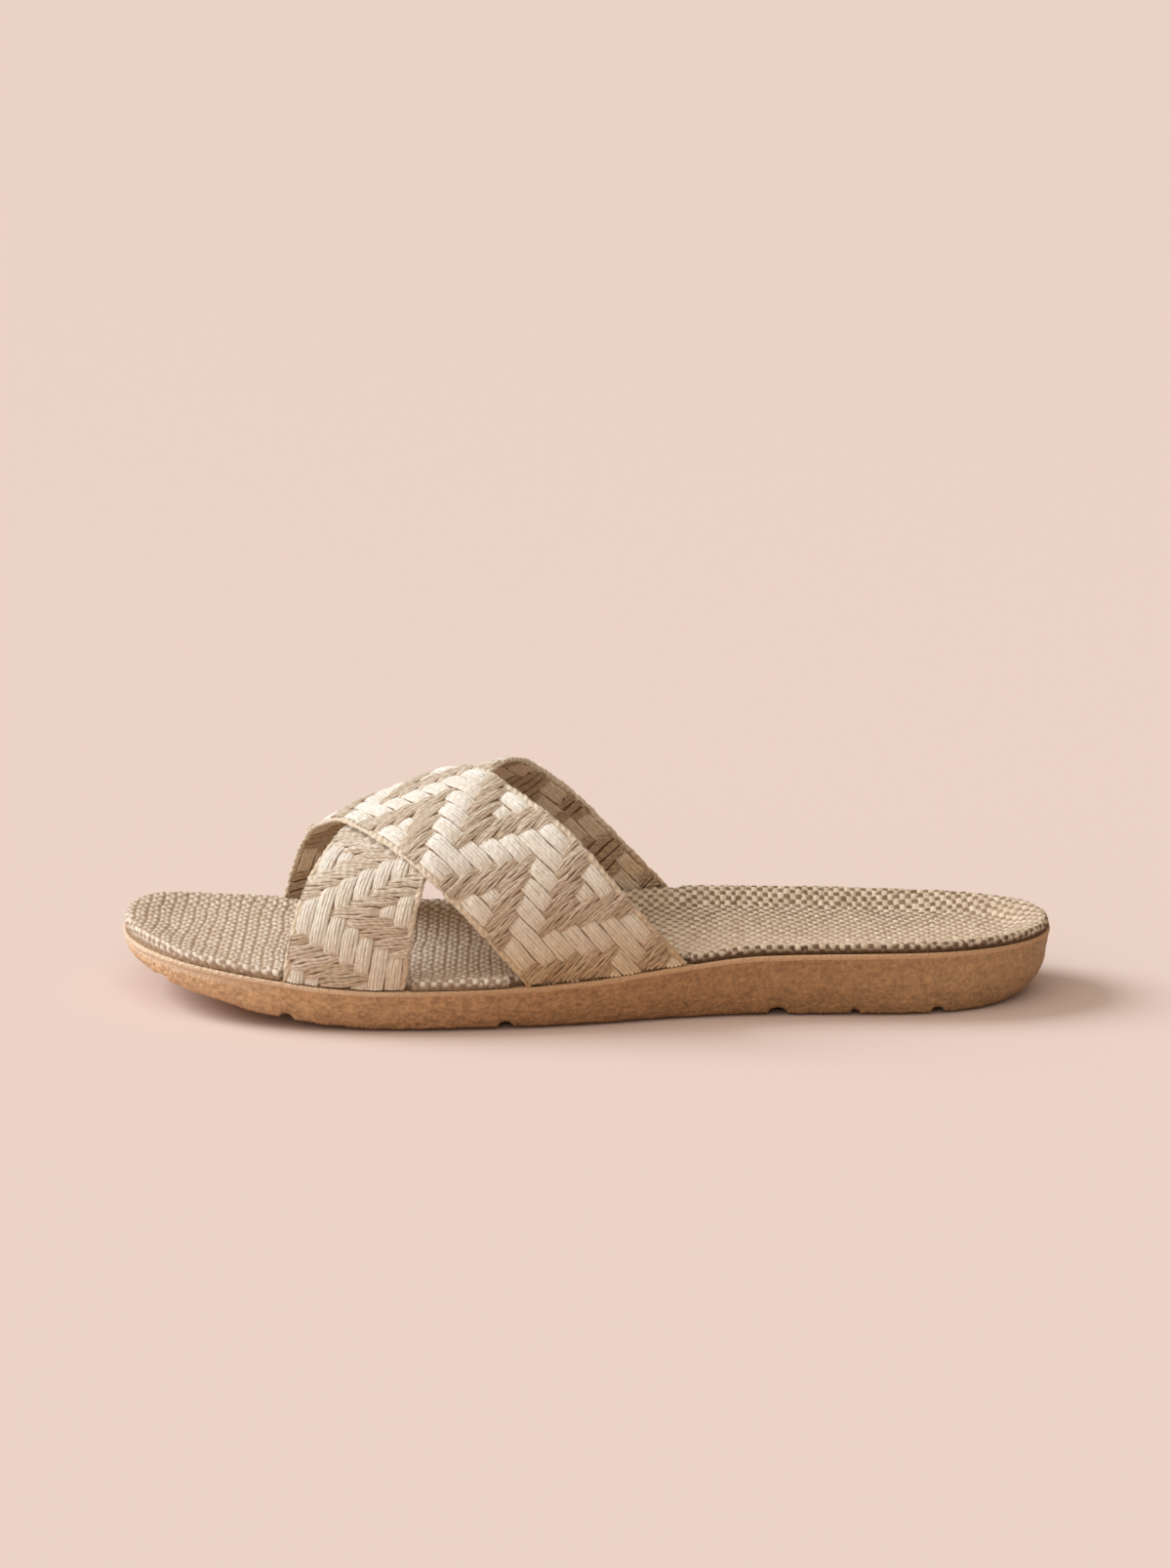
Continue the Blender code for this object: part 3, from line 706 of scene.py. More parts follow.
def cloth_material():
    """The footbed's cloth: pale yarns across, brown ones along, faded in patches and lighter towards the
    toe, partly as painted light, with painted shade darkening the brown on the far side. Over the edge the
    brown is darker, and low on the edge the pale yarns are brown too; at the toe the beads over the edge
    get a painted highlight."""
    n = Nodes("footbed_cloth")
    place = n.place()
    x, y, _ = n.split(place)
    foot = n.stored("inside")
    patch = n.noise(place, 45.0, 3.0, 0.5)
    speck = n.noise(place, 420.0, 3.0, 0.6)
    fibre = n.noise(place, 1900.0, 4.0, 0.6)
    # Painted shade: the brown yarns are kept dark on the far side, towards the heel and less so at its
    # very back.
    far = n.fit(y, -0.012, 0.020, 0.0, 1.0)
    rear = n.fit(x, -0.02, 0.05, 0.15, 1.0)
    back = n.fit(x, 0.085, 0.125, 1.0, 0.4)
    kept = n.scaled(far, n.scaled(rear, back))
    wear_and_painted_shade = n.math("SUBTRACT", n.scaled(patch, 0.9, 0.38), kept)
    bead = n.fit(foot, 0.02, 0.25, 0.0, 1.0)
    low = n.fit(foot, 0.38, 0.78, 0.0, 1.0)
    # Lighter from between the straps to the toe, and on the near side there: partly the cloth's own paler
    # look, partly painted light where the straps shade it.
    toe = n.fit(x, 0.03, -0.06, 0.0, 0.65)
    near = n.fit(y, 0.005, 0.030, 1.0, 0.2)
    deep = n.mix(wear_and_painted_shade, rgb(119, 93, 66), rgb(190, 162, 134))
    deep = n.mix(bead, deep, rgb(90, 66, 46))
    deep = n.mix(n.scaled(toe, near), deep, rgb(190, 161, 134))
    pale = n.mix(speck, rgb(202, 176, 147), rgb(248, 233, 213))
    pale = n.mix(n.scaled(toe, 0.8), pale, rgb(252, 241, 229))
    # Painted highlight on the beads over the edge at the toe.
    pale = n.mix(n.scaled(bead, toe), pale, rgb(255, 246, 234))
    pale = n.mix(low, pale, n.mix(toe, rgb(104, 78, 56), rgb(196, 166, 136)))
    return n.surface(
        Base_Color=n.shaded(n.mix(n.stored("tone"), deep, pale), n.scaled(fibre, 0.5, 0.75)),
        Roughness=0.85,
        Normal=n.bump(fibre, 0.6, 0.0003),
        Specular_IOR_Level=0.2,
    )


def rubber_material():
    """Tan crepe rubber, pebbled all over: lighter at the toe, partly as painted light, browner behind,
    streaked in the middle, with painted shade low on the side and a pale lip that is partly painted
    highlight. The stored tone is high on the crumbs and low between them, as painted light and shade."""
    n = Nodes("crepe_rubber")
    place = n.place()
    x, _, z = n.split(place)
    lip = n.stored("inside")
    heelward = n.scaled(x, 1.0 / 0.26, 0.5)
    # Lighter towards the toe: partly the rubber's own colour, partly painted light on the side that faces
    # the key.
    side_colour_and_painted_light_stops = (
        (0.0, 219, 179, 140),
        (0.20, 199, 156, 114),
        (0.45, 174, 130, 90),
        (0.75, 163, 123, 84),
        (1.0, 176, 139, 101),
    )
    # The lip's paler colour: partly the rubber's own paler lip, partly painted highlight.
    pale_lip_and_highlight_stops = (
        (0.0, 235, 208, 180),
        (0.22, 221, 186, 151),
        (0.40, 196, 154, 116),
        (0.62, 206, 165, 126),
        (1.0, 192, 150, 112),
    )
    base = n.ramp(heelward, side_colour_and_painted_light_stops)
    edge = n.ramp(heelward, pale_lip_and_highlight_stops)
    stretch = n.add("ShaderNodeMapping", {0: place, 3: (0.34, 0.34, 1.3)}).outputs[0]
    streak = n.noise(stretch, 800.0, 3.0, 0.6)
    pebble = n.noise(place, 850.0, 1.5, 0.5)
    crumb = n.noise(place, 2800.0, 2.0, 0.5)
    stain = n.noise(place, 70.0, 3.0, 0.5)
    # Darker towards the bottom of the side: painted shade.
    rise = n.fit(z, 0.002, 0.011, 0.05, 0.25)
    toeward = n.fit(heelward, 0.50, 0.18, 0.0, 1.0)
    away = n.math("ABSOLUTE", n.math("SUBTRACT", heelward, 0.42))
    middle = n.fit(away, 0.10, 0.24, 1.0, 0.0)
    crease = n.scaled(n.math("SUBTRACT", streak, 0.5), middle)
    shade = n.scaled(streak, 0.3, n.scaled(pebble, 0.9, rise))
    shade = n.scaled(crease, 0.3, shade)
    shade = n.scaled(stain, 0.12, shade)
    # Lighter on the crumbs and darker between them and on the rim: painted light and shade.
    shade = n.scaled(n.stored("tone"), 0.24, shade)
    # On the lip and the toe's band the shade is evened out towards light, with the lip's painted
    # highlight.
    calm = n.scaled(n.math("SUBTRACT", 0.97, shade), 0.75)
    shade = n.scaled(lip, calm, shade)
    grain = n.scaled(streak, 0.4, n.scaled(pebble, n.scaled(toeward, 0.4, 1.0)))
    grain = n.scaled(crease, 0.8, grain)
    return n.surface(
        Base_Color=n.shaded(n.mix(lip, base, edge), shade),
        Roughness=0.6,
        Normal=n.bump(crumb, 0.5, 0.0003, n.bump(grain, 0.7, 0.0010)),
        Specular_IOR_Level=0.35,
    )


def groove_height(along):
    """How far the grooves cut into the tread at along."""
    cut = np.zeros(np.shape(along))
    for middle, width, depth in GROOVES:
        across = np.clip(np.abs(along - middle) / (0.5 * width), 0, 1)
        cut = np.maximum(cut, depth * np.sqrt(1 - across**2))
    return cut


def sole_sheet(part, ring, height, columns):
    """Closes a sole ring with rows across it at height(along, across). The ring's own points are kept."""
    outer, inner = both_sides(ring)
    share = np.linspace(0, 1, columns + 1)[None, :, None]
    flat = outer[:, None, :2] * (1 - share) + inner[:, None, :2] * share
    z = height(flat[..., 0], flat[..., 1])
    rows = np.concatenate([flat, z[..., None]], -1)
    rows[:, 0] = outer
    rows[:, -1] = inner
    part.grid(rows)


def foot_spans(straps):
    """Where the straps stand on the rim: the side, and the range along it of each of the four feet."""
    spans = []
    for strap in straps:
        for side, foot in (("inner", strap.feet[0]), ("outer", strap.feet[1])):
            s = np.linspace(foot - FOOT_RUN, foot + FOOT_RUN, FOOT_POINTS[0])
            q = np.linspace(-STRAP_WIDTH / 2, STRAP_WIDTH / 2, FOOT_POINTS[1])
            along, girth = strap.flat(*np.meshgrid(s, q))
            height = strap.last.girth_at(along) / 2 - np.abs(girth)
            low = along[(height > 0) & (height < NOTCH_HEIGHT)]
            spans.append((side, low.min(), low.max()))
    return spans


def rim_widths(loop, spans):
    """Width of the rim at each point of the sole's loop: wider where the straps stand on it."""
    along, across = loop.T
    width = np.full(len(along), RIM_WIDTH)
    for side, low, high in spans:
        here = (across < 0) == (side == "outer")
        share = smooth(low - 3 * NOTCH_ROOM, low - NOTCH_ROOM, along)
        share = share * (1 - smooth(high + NOTCH_ROOM, high + 3 * NOTCH_ROOM, along))
        width = np.maximum(width, RIM_WIDTH + (RIM_AT_STRAP - RIM_WIDTH) * share * here)
    return width


def make_outsole(loop, rim):
    """The rubber sole with crumbed crepe sides, lip, toothed lower edge and grooves."""
    part = Part()
    normal = inwards(loop)
    foot = section("bottom_inset", loop[:, 0])
    low = section("bottom_z", loop[:, 0])
    run = distances(loop)
    toeward = smooth(*TOEWARD, loop[:, 0])
    depth = CREPE_DEPTH[0] + (CREPE_DEPTH[1] - CREPE_DEPTH[0]) * toeward
    tooth = TOOTH_DEPTH[0] + (TOOTH_DEPTH[1] - TOOTH_DEPTH[0]) * toeward
    wander = value_noise(np.column_stack([run, 0 * run, 0 * run]), TOOTH_WANDER, 9)
    teeth = tooth * (np.abs(np.sin(math.pi * run / TOOTH_PITCH + 1.8 * wander)) - 0.6 + 0.5 * wander)
    profile = np.array(SIDE_PROFILE)
    nothing = np.zeros(len(loop))

    def tread(along, across):
        return section("bottom_z", along) + groove_height(along)

    def side(share):
        """A ring of the side at a share of its height, its tone (painted light on the crumbs, painted
        shade between them), and its share of the pale band.
        """
        amount = monotone(profile[:, 0], profile[:, 1], np.array([share]))[0]
        flare = LIP_FLARE * smooth(*FLARE_SHARE, share) * (1 - toeward)
        made = inset_ring(loop, LIP_STEP + (foot - LIP_STEP) * amount - flare, lambda along, across: low)
        edge = low + EDGE_RISE + groove_height(made[:, 0]) - teeth
        top = rim_z(made[:, 0], made[:, 1]) - LIP_HEIGHT
        made[:, 2] = np.maximum(low + (top - low) * share, edge + (top - edge) * share * 0.4)
        crumb = value_noise(made * (0.75, 0.75, 1.0), CREPE_SIZE[0], 3)
        crumb = crumb + 0.5 * value_noise(made, CREPE_SIZE[1], 8)
        fade = smooth(0.0, 0.06, share) * (1 - smooth(0.96, 1.0, share))
        band = smooth(*BAND_SHARE, share) * smooth(*BAND_FROM, loop[:, 0])
        made[:, :2] -= normal * (depth * crumb * fade * (1 - 0.8 * band))[:, None]
        # Tone high on the crumbs and low between them: painted light and shade of the crumbs.
        return made, np.clip(0.5 + 0.5 * crumb * (1 - band), 0, 1), band

    def plain(insets, pale):
        """Rings at insets from the sole's edge and drops below the rim, with the lip's pale look and
        painted highlight or without.
        """
        rings = [inset_ring(loop, inset, below_rim(drop)) for inset, drop in insets]
        return [(ring, nothing + LIP_HIGHLIGHT_TONE * pale, nothing + pale) for ring in rings]

    wave = 0.06 * value_noise(np.column_stack([loop, run]), 6.0, 5)
    lip = [(inset + wave, drop) for inset, drop in LIP_ROUND] + [(RIM_WIDTH - 0.15, 0.0)]
    rows = [(inset_ring(loop, foot + TREAD_INSET, tread), nothing, nothing)]
    rows += [side(share) for share in np.linspace(0.0, 1.0, SIDE_ROWS)]
    rows += plain(lip, 1)
    # The rim beside the footbed gets neither the lip's colour nor any tone, so it is darker: painted
    # shade.
    rows += plain([(rim - 0.1, 0.0), (rim, 0.1), (rim, RECESS_DEPTH)], 0)
    points, tones, lips = (np.array(values) for values in zip(*rows))
    part.grid(points, tone=tones, inside=lips, wrap=True)
    sole_sheet(part, points[0], tread, SOLE_COLUMNS)
    sole_sheet(part, points[-1], below_rim(RECESS_DEPTH), SOLE_COLUMNS)
    part.make("outsole_rubber", rubber_material(), "outsole")


def footbed_top(along, across, distance):
    """Height of the footbed's top at a distance from the sole's edge."""
    start = RIM_WIDTH + GAP
    hollow = smooth(start + 1.0, start + DISH_REACH, distance)
    return rim_z(along, across) + section("rise", along) - section("dish", along) * hollow


def float_rise(width, length, fall):
    """Height of a yarn over its cell, up to 1: it falls to both sides of its width and to its ends."""
    rise = np.sqrt(np.clip(1 - width**2 * fall, 0, 1))
    return rise * np.sqrt(np.clip(1 - (length / FLOAT_REACH) ** 2, 0, 1))


def cloth_height(along, across):
    """Height of the plain weave at places, and its tone: high on pale yarns, low on brown ones."""
    place = np.stack([along, across, 0 * along], -1)
    bend = 0.25 * np.sin(along * 0.21 + 1.7 * np.sin(across * 0.09)) + 0.2 * np.sin(across * 0.17 + 1.0)
    u = (along + bend + 0.35 * value_noise(place, 5.0, 21)) / CLOTH_ALONG
    v = (across + 0.25 * np.sin(along * 0.13) + 0.35 * value_noise(place, 6.0, 22)) / CLOTH_ACROSS
    i = np.floor(u)
    j = np.floor(v)
    x = 2 * (u - i) - 1
    y = 2 * (v - j) - 1
    pale = np.zeros(along.shape)
    brown = np.zeros(along.shape)
    tone = np.zeros(along.shape)
    for step in (-1, 0, 1):
        pale_is_up = np.mod(i + j + step, 2) == 0
        size = LIGHT_CROWN * (0.75 + 0.5 * hashed(i, j + step, 1))
        height = np.where(pale_is_up, size * float_rise(x, y - 2 * step, 0.92), 0)
        tone = np.where(height > pale, 0.70 + 0.30 * hashed(i, j + step, 3), tone)
        pale = np.maximum(pale, height)
        size = DARK_CROWN * (0.75 + 0.5 * hashed(i + step, j, 2))
        height = np.where(pale_is_up, 0, size * float_rise(y, x - 2 * step, 0.95))
        tone = np.where(height > np.maximum(pale, brown), 0.02 + 0.13 * hashed(i + step, j, 4), tone)
        brown = np.maximum(brown, height)
    tone = np.where(pale > brown, np.maximum(tone, 0.6), np.minimum(tone, 0.5))
    ribbed = smooth(*RIBBED_FROM, along) * np.exp(-(((u - 2 * np.round(u / 2)) / RIB_LINE) ** 2))
    return np.maximum(pale, brown) - RIB_DEPTH * ribbed, tone * (1 - 0.7 * ribbed)


def make_cloth(edge):
    """The woven cloth over the footbed, wrapped over its standing edge, in three pieces."""
    material = cloth_material()
    step = CLOTH_ALONG / CLOTH_STEPS[0]
    rows = PIECE_CELLS * CLOTH_STEPS[0]
    behind = HEEL_CELLS * CLOTH_STEPS[0]
    half = HALF_CELLS * CLOTH_STEPS[1]
    across = np.arange(-half, half + 1) * (CLOTH_ACROSS / CLOTH_STEPS[1])
    turn_at = CLOTH_LOW + CLOTH_ROUND
    quarter = CLOTH_ROUND * math.pi / 2
    for number, name in enumerate(("rear", "middle", "front")):
        along = (np.arange(number * rows, (number + 1) * rows + 1) - behind) * step
        a, b = np.meshgrid(along, across, indexing="ij")
        distance, inward = edge_field(a, b, edge)
        over = np.maximum(turn_at - distance, 0)
        angle = np.minimum(over / CLOTH_ROUND, math.pi / 2)
        reach = section("rise", a) - turn_at - 0.05
        keep = over - quarter < reach + step
        drop = np.clip(over - quarter, 0, reach)
        inset = np.where(over > 0, turn_at - CLOTH_ROUND * np.sin(angle), distance)
        x = a + inward[..., 0] * (inset - distance)
        y = b + inward[..., 1] * (inset - distance)
        z = footbed_top(x, y, RIM_WIDTH + GAP + inset) - CLOTH_LOW
        z -= CLOTH_ROUND * (1 - np.cos(angle)) + drop
        outward = -EDGE_GATHER * over[..., None] * inward
        height, tone = cloth_height(a + outward[..., 0], b + outward[..., 1])
        x -= inward[..., 0] * np.sin(angle) * height
        y -= inward[..., 1] * np.sin(angle) * height
        z += np.cos(angle) * height
        foot = np.clip(over / (quarter + reach), 0, 1)
        build_masked("footbed_cloth_" + name, np.stack([x, y, z], -1), tone, foot, keep, material)


def make_footbed_body(loop, rim):
    """The body of the footbed under its cloth."""
    part = Part()
    under = below_rim(RECESS_DEPTH - GAP)

    def top(along, across):
        distance, _ = edge_field(np.atleast_2d(along), np.atleast_2d(across), EDGE)
        return footbed_top(along, across, np.reshape(distance, np.shape(along))) - CLOTH_LOW - 0.15

    def below_edge(drop):
        return lambda along, across: rim_z(along, across) + section("rise", along) - drop

    steps = (
        (0.9, under),
        (0.6, below_rim(RECESS_DEPTH - GAP - 0.4)),
        (0.6, below_edge(1.6)),
        (1.0, below_edge(0.95)),
        (1.9, top),
    )
    rings = [inset_ring(loop, rim + GAP + inset, height) for inset, height in steps]
    part.grid(np.array(rings), wrap=True)
    sole_sheet(part, rings[0], under, BODY_COLUMNS[0])
    sole_sheet(part, rings[-1], top, BODY_COLUMNS[1])
    brown = rgb(134, 104, 76)
    part.make("footbed_body", core_material("footbed_body", brown, brown), "footbed")


def build_masked(name, points, tone, foot, keep, material):
    """A grid surface made only of the cells whose four corners are kept."""
    whole = keep[:-1, :-1] & keep[1:, :-1] & keep[1:, 1:] & keep[:-1, 1:]
    numbers = np.arange(keep.size).reshape(keep.shape)
    corners = (numbers[:-1, :-1], numbers[1:, :-1], numbers[1:, 1:], numbers[:-1, 1:])
    used, where = np.unique(np.stack(corners, -1)[whole], return_inverse=True)
    part = Part()
    part.points.append(points.reshape(-1, 3)[used])
    part.tone.append(tone.ravel()[used])
    part.inside.append(foot.ravel()[used])
    part.faces = where.reshape(-1, 4).tolist()
    part.make(name, material)


class Last:
    """The surface inside the straps, as a grid of places along the shoe by shares of the girth."""

    def __init__(self):
        self.along = np.linspace(*LAST_RANGE, LAST_GRID[0])
        self.share = np.linspace(0, 1, LAST_GRID[1])
        x = column(LAST, LAST_COLUMNS, "along")
        apex_z = monotone(x, column(LAST, LAST_COLUMNS, "apex_z"), self.along)
        apex_y = monotone(x, column(LAST, LAST_COLUMNS, "apex_across"), self.along)
        outer = np.interp(self.along, OUTER_SIDE[:, 0], OUTER_SIDE[:, 1]) + FOOT_INSET
        inner = np.interp(self.along, INNER_SIDE[:, 0], INNER_SIDE[:, 1]) - FOOT_INSET
        turn = np.linspace(0, np.pi, LAST_TURNS)
        flat = np.abs(np.cos(turn)) ** (2 / LAST_ROUND)
        high = np.abs(np.sin(turn)) ** (2 / LAST_ROUND)
        self.girth = np.zeros(len(self.along))
        self.points = np.zeros((len(self.along), len(self.share), 3))
        for k, along in enumerate(self.along):
            on_inner = turn <= np.pi / 2
            reach = np.where(on_inner, inner[k] - apex_y[k], outer[k] - apex_y[k])
            base = np.where(on_inner, rim_z(along, inner[k]), rim_z(along, outer[k])) + GAP
            y = apex_y[k] + reach * flat
            z = base + (apex_z[k] - base) * high
            run = distances(np.column_stack([y, z]))
            self.girth[k] = run[-1]
            self.points[k, :, 0] = along
            self.points[k, :, 1] = np.interp(self.share * run[-1], run, y)
            self.points[k, :, 2] = np.interp(self.share * run[-1], run, z)
        normal = np.cross(np.gradient(self.points, axis=1), np.gradient(self.points, axis=0))
        self.normals = normal / np.linalg.norm(normal, axis=2)[..., None]

    def girth_at(self, along):
        """Length of the section from foot to foot."""
        return np.interp(along, self.along, self.girth)

    def mix(self, grid, along, share):
        """A value of the grid between its nodes."""
        i = (np.clip(along, *LAST_RANGE) - self.along[0]) / (self.along[1] - self.along[0])
        j = np.clip(share, 0, 1) * (len(self.share) - 1)
        i0 = np.minimum(i.astype(int), len(self.along) - 2)
        j0 = np.minimum(j.astype(int), len(self.share) - 2)
        u = (i - i0)[..., None]
        v = (j - j0)[..., None]
        near = grid[i0, j0] * (1 - v) + grid[i0, j0 + 1] * v
        far = grid[i0 + 1, j0] * (1 - v) + grid[i0 + 1, j0 + 1] * v
        return near * (1 - u) + far * u

    def place(self, along, girth, off):
        """Point at along and at a girth measured from the middle, moved outwards by off."""
        whole = self.girth_at(along)
        share = girth / whole + 0.5
        normal = self.mix(self.normals, along, share)
        normal /= np.linalg.norm(normal, axis=-1)[..., None]
        point = self.mix(self.points, along, share) + normal * np.asarray(off)[..., None]
        point[..., 2] -= np.maximum(np.maximum(-share, share - 1), 0) * whole
        return point


class Strap:
    """A band of constant width on the last, with places given by s along its centre line, measured from
    the middle of the line, and q across it, positive towards the toe."""

    def __init__(self, last, name, below=None):
        self.last = last
        self.name = name
        self.below = below
        share = np.linspace(*LINE_SHARES)
        rows = column(STRAPS, STRAP_COLUMNS, "share")
        along = spline(rows, column(STRAPS, STRAP_COLUMNS, name + "_along"), share)
        self.line = np.column_stack([along, (share - 0.5) * last.girth_at(along)])
        run = distances(self.line)
        self.run = run - np.interp(0.5, share, run)
        self.feet = np.interp([0.0, 1.0], share, self.run)
        tangent = np.gradient(self.line, axis=0)
        tangent /= np.linalg.norm(tangent, axis=1)[:, None]
        self.across = np.column_stack([tangent[:, 1], -tangent[:, 0]])

    def flat(self, s, q):
        """Along and girth of a place on the band."""
        along = np.interp(s, self.run, self.line[:, 0]) + q * np.interp(s, self.run, self.across[:, 0])
        girth = np.interp(s, self.run, self.line[:, 1]) + q * np.interp(s, self.run, self.across[:, 1])
        return along, girth

    def share(self, s, q):
        """Share of the girth of a place: outside 0 to 1 it lies below a foot."""
        along, girth = self.flat(s, q)
        return girth / self.last.girth_at(along) + 0.5

    def lift(self, s, q):
        """How far the band is lifted where it crosses the strap below."""
        if self.below is None:
            return np.zeros(np.broadcast(s, q).shape)
        along, girth = self.flat(s, q)
        places = np.stack([along, girth], -1)
        away = np.sqrt(((places[..., None, :] - self.below.line[::4]) ** 2).sum(-1)).min(-1)
        half = STRAP_WIDTH / 2
        return TOP_LIFT * (1 - smooth(half - 1.0, half + LIFT_FALL, away))

    def points(self, s, q, off):
        """Table coordinates of places on the band, off outwards."""
        along, girth = self.flat(s, q)
        return self.last.place(along, girth, off)

    def foot_to_foot(self, q):
        """The s of both feet at q."""
        s = np.linspace(self.feet[0] - FOOT_RUN, self.feet[1] + FOOT_RUN, STRAP_POINTS)
        share = self.share(s, np.full(len(s), q))
        inside = np.flatnonzero((share >= 0) & (share <= 1))
        first, last = inside[0], inside[-1]
        low = np.interp(0.0, share[first - 1 : first + 1], s[first - 1 : first + 1])
        high = np.interp(1.0, share[last : last + 2], s[last : last + 2])
        return low, high


def strip_is_up(strip, cross):
    """The chevron weave: a lengthwise strip lies over three cross strips, then under three, and the step
    turns back after every six."""
    turn = np.abs(np.mod(cross + 6, 12) - 6)
    return np.mod(turn - strip + 1, 6) <= 2


def weave_level(value, position, dip):
    """Height of a yarn between -1 (under) and 1 (over) at a position counted in crossings, and a softer
    copy that is highest in the middle of a long float. value(n) is 1 where crossing n is passed over, and
    dip is how far the yarn has come down where it leaves its last one."""
    n = np.floor(position + 0.5)
    t = position - n
    here = value(n)
    there = value(n + np.where(t >= 0, 1, -1))
    change = np.where(here > 0, -dip, 2 - dip) * smooth(0.05, 0.5, np.abs(t))
    level = here + np.where(here == there, 0.0, change)
    soft = (here + value(n - 1) * (0.5 - t) + value(n + 1) * (0.5 + t)) / 2.0
    return level, soft


def add_yarn(part, strap, s, q, off, size, along_s, seed):
    """A yarn along the places s, q at height off, as a tube of half width and half thickness size."""
    turn = np.arange(YARN_SIDES) * 2 * math.pi / YARN_SIDES
    side = size[0] * np.cos(turn)[None, :]
    rise = off[:, None] + size[1] * np.sin(turn)[None, :]
    height = strap.lift(s, q)[:, None] + rise
    inside = 1 - smooth(CORE[0] - 0.35, CORE[0] + 0.05, rise)
    if along_s:
        points = strap.points(s[:, None] + 0 * side, q[:, None] + side, height)
        run = np.abs(s - s[0])
    else:
        points = strap.points(s[:, None] + side, q[:, None] + 0 * side, height)
        run = np.abs(q - q[0])
    part.tube(points, (run + 40 * seed, np.arange(YARN_SIDES) / YARN_SIDES), seed, inside)


def make_strips(strap, material):
    """The pale lengthwise strips, each a row of yarns that passes over and under the cross strips."""
    part = Part()
    for strip in range(STRIPS):
        middle = STRAP_WIDTH / 2 - EDGE_CORD - (strip + 0.5) * STRIP_PITCH
        for yarn in range(STRIP_YARNS):
            place = yarn - (STRIP_YARNS - 1) / 2
            low, high = strap.foot_to_foot(middle + place * STRIP_PITCH / STRIP_YARNS)
            s = np.linspace(low + YARN_END, high - YARN_END, int((high - low) / YARN_STEP))
            count = (s - CHEVRON[strap.name]) / CROSS_PITCH
            level, soft = weave_level(lambda n: np.where(strip_is_up(strip, n), 1.0, -1.0), count, 0.45)
            squeeze = 0.86 + 0.07 * smooth(-0.4, 0.8, soft)
            seed = hashed(strip, yarn, len(strap.name))
            drift = 0.10 * np.sin(s * 0.31 + 20 * seed) + 0.06 * np.sin(s * 0.83 + 50 * seed)
            q = middle + place * squeeze * STRIP_PITCH / STRIP_YARNS + drift
            crown = 0.36 * smooth(0.0, 1.0, soft) - 0.30 * (place / 2) ** 2 * smooth(-0.5, 1.0, level)
            off = YARN_MIDDLE + YARN_SWING * level + crown + 0.05 * np.sin(s * 0.7 + 33 * seed)
            add_yarn(part, strap, s, q, off, STRIP_YARN_SIZE, True, seed)
    part.make("strap_" + strap.name + "_strips", material)


def make_cross_strips(strap, material):
    """The taupe cross strips, each a bundle of yarns from edge to edge."""
    part = Part()
    half = STRAP_WIDTH / 2
    q = np.linspace(half - 0.7, 0.7 - half, int(STRAP_WIDTH / YARN_STEP))
    count = (half - EDGE_CORD - q) / STRIP_PITCH - 0.5
    first = int((strap.feet[0] - FOOT_RUN - CHEVRON[strap.name]) / CROSS_PITCH)
    last = int((strap.feet[1] + FOOT_RUN - CHEVRON[strap.name]) / CROSS_PITCH)
    for cross in range(first, last + 1):
        level, soft = weave_level(
            lambda n: np.where(strip_is_up(np.clip(n, -1, STRIPS), cross), -1.0, 1.0), count, 1.3
        )
        spread = 0.66 + 0.34 * smooth(-0.3, 0.9, soft)
        for yarn in range(CROSS_YARNS):
            seed = hashed(cross, yarn, 7 + len(strap.name))
            place = yarn - (CROSS_YARNS - 1) / 2
            drift = 0.16 * np.sin(q * 0.35 + 20 * seed) + 0.14 * np.sin(q * 0.9 + 60 * seed)
            s = CHEVRON[strap.name] + CROSS_PITCH * (cross + place * spread / CROSS_YARNS) + drift
            crown = 0.30 * smooth(0.0, 1.0, soft) - 0.09 * place**2 * smooth(-0.5, 1.0, level)
            off = YARN_MIDDLE + YARN_SWING * level + crown
            share = strap.share(s, q)
            inside = np.flatnonzero((share > 0.002) & (share < 0.998))
            if len(inside) < 3:
                continue
            span = slice(inside[0], inside[-1] + 1)
            add_yarn(part, strap, s[span], q[span], off[span], CROSS_YARN_SIZE, False, seed)
    part.make("strap_" + strap.name + "_cross", material)


def make_edges(strap, material):
    """The twisted cords along both edges of a strap."""
    part = Part()
    width, thickness = CORD_SIZE
    turn = np.arange(CORD_SIDES) * 2 * math.pi / CORD_SIDES
    for edge in (1, -1):
        q = edge * (STRAP_WIDTH / 2 - width)
        low, high = strap.foot_to_foot(q)
        s = np.linspace(low + YARN_END, high - YARN_END, int((high - low) / CORD_STEP))[:, None]
        drift = 0.10 * np.sin(s * 0.61 + edge) + 0.08 * np.sin(s * 1.37 + 2 * edge)
        phase = turn * 2 - 2 * math.pi * s / CORD_TWIST - 1.2 * np.sin(s * 0.4)
        swell = 0.94 + 0.10 * np.cos(phase) + 0.05 * np.sin(s * 0.9 + 3 * edge)
        height = YARN_MIDDLE - 0.05 + strap.lift(s, np.full(s.shape, q))
        height = height + thickness * swell * np.sin(turn)
        places = q + drift + width * swell * np.cos(turn)
        points = strap.points(s + 0 * places, places, height)
        part.tube(points, (s[:, 0] - s[0, 0], turn / (2 * math.pi)), hashed(edge, 3, 5))
    part.make("strap_" + strap.name + "_edges", material)


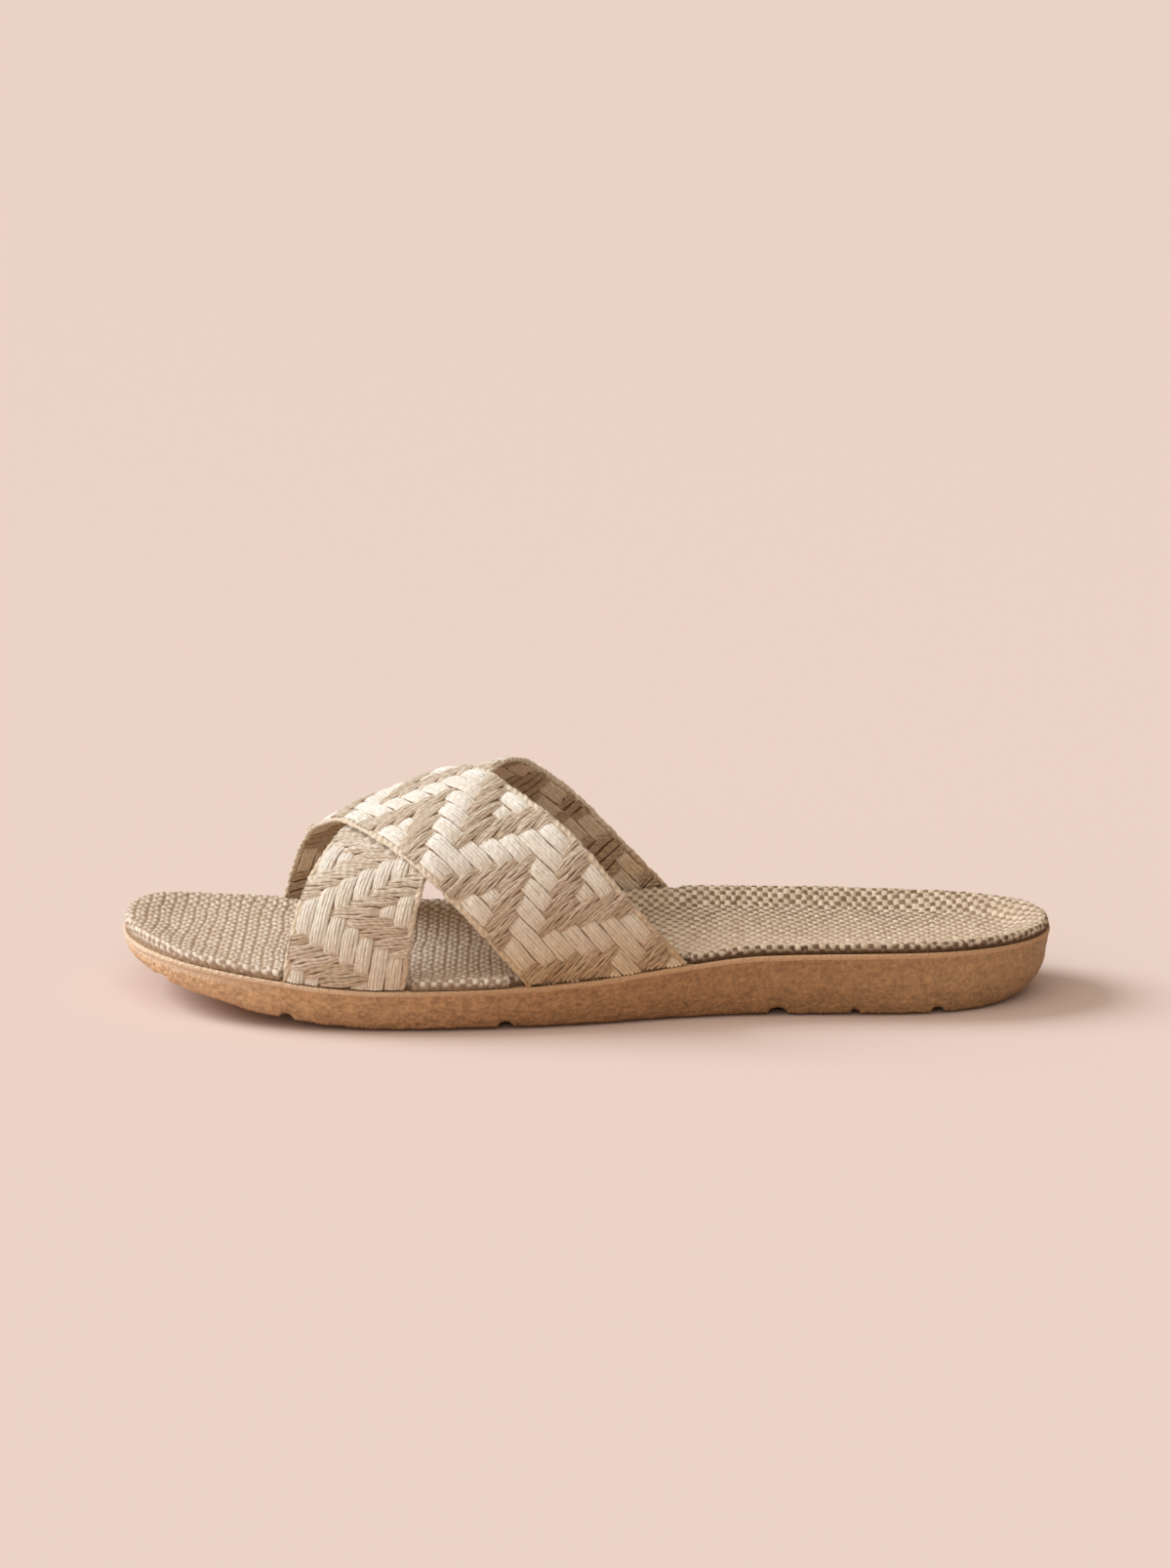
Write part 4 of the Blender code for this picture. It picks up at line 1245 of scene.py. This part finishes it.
def make_core(strap, material, node=None):
    """The thin backing between the yarns of a strap, from foot to foot, coloured brown so that the gaps
    between the yarns show painted shade.
    """
    part = Part()
    rows, columns = CORE_GRID
    edge = STRAP_WIDTH / 2 - CORE_MARGIN
    qs = np.linspace(edge, -edge, columns)
    ends = np.array([strap.foot_to_foot(q) for q in qs])
    t = np.linspace(0.001, 0.999, rows)[:, None]
    s = ends[None, :, 0] * (1 - t) + ends[None, :, 1] * t
    q = np.broadcast_to(qs[None, :], s.shape)
    lift = strap.lift(s, q)
    inner, outer = (strap.points(s, q, lift + height) for height in CORE)
    loop = np.concatenate([inner, outer[:, ::-1]], 1)
    part.tube(loop, inside=np.repeat([1.0, 0.0], columns)[None, :])
    part.make("strap_" + strap.name + "_core", material, node)


def make_upper(straps):
    """Both straps."""
    golden = rgb(230, 196, 148)
    brown = rgb(196, 160, 118)
    pale = yarn_material("straw_pale", rgb(252, 247, 239), rgb(241, 230, 215), golden, 2.4, 0.25)
    top = yarn_material("straw_taupe", rgb(243, 228, 210), rgb(203, 179, 153), brown, 2.2, 0.8)
    # The under strap's taupe is a lighter copy of the top strap's: painted light.
    under = yarn_material("straw_taupe_light", rgb(247, 234, 218), rgb(217, 195, 171), brown, 2.2, 0.8)
    taupe = {"top": top, "under": under}
    cord = yarn_material("straw_edge", rgb(243, 229, 209), rgb(210, 185, 155), brown, 2.3, 0.9)
    # The backing's brown shows in the gaps between the yarns as painted shade.
    core = core_material("strap_core", rgb(160, 132, 104), rgb(156, 124, 92))
    for strap in straps:
        make_core(strap, core, "upper" if strap.name == "under" else None)
        make_strips(strap, pale)
        make_cross_strips(strap, taupe[strap.name])
        make_edges(strap, cord)


def make_stage():
    """A wide pale floor, soft light and the camera."""
    n = Nodes("pale_floor")
    n.surface(Base_Color=FLOOR_COLOUR, Roughness=0.9, Specular_IOR_Level=0.1)
    mesh = bpy.data.meshes.new("floor")
    mesh.from_pydata(FLOOR_CORNERS, [], [(0, 1, 2, 3)])
    mesh.materials.append(n.material)
    floor = add_to_scene("floor", mesh)

    world = bpy.data.worlds.new("studio")
    world.use_nodes = True
    background = world.node_tree.nodes["Background"].inputs
    background[0].default_value = WORLD_COLOUR
    background[1].default_value = WORLD_STRENGTH
    bpy.context.scene.world = world
    bpy.context.scene.view_settings.view_transform = "Standard"

    for name, (energy, spread, colour, elevation, turn) in LIGHTS.items():
        light = bpy.data.lights.new(name, "SUN")
        light.energy = energy
        light.angle = math.radians(spread)
        light.color = colour
        lamp = add_to_scene(name, light)
        lamp.rotation_euler = (0.0, math.radians(90 - elevation), math.radians(180 + turn))

    camera = bpy.data.cameras.new("camera")
    camera.lens = CAMERA_LENS
    camera.sensor_width = CAMERA_SENSOR
    camera.clip_end = CAMERA_REACH
    eye = add_to_scene("camera", camera)
    up = math.radians(CAMERA_ELEVATION)
    eye.location = (
        (ALONG_MIDDLE - CAMERA_ALONG) * MM,
        -CAMERA_DISTANCE * math.cos(up) - ACROSS_MIDDLE * MM,
        CAMERA_DISTANCE * math.sin(up),
    )
    eye.rotation_euler = (math.radians(90 - CAMERA_DIP), 0.0, 0.0)
    bpy.context.scene.camera = eye


def make_sandal():
    """All pieces of the sandal."""
    last = Last()
    under = Strap(last, "under")
    top = Strap(last, "top", under)
    spans = foot_spans((under, top))
    loop = sole_loop(SOLE_STATIONS)
    rim = rim_widths(loop, spans)
    make_outsole(loop, rim)
    reach = HEEL_REACH * (1 - smooth(*HEEL_UP_TO, loop[:, 0])) + TOE_REACH * smooth(*TOE_FROM, loop[:, 0])
    make_cloth(loop + inwards(loop) * (rim + GAP - reach)[:, None])
    coarse = sole_loop(BODY_STATIONS)
    make_footbed_body(coarse, rim_widths(coarse, spans))
    make_upper((under, top))


make_stage()
make_sandal()
bpy.context.view_layer.update()
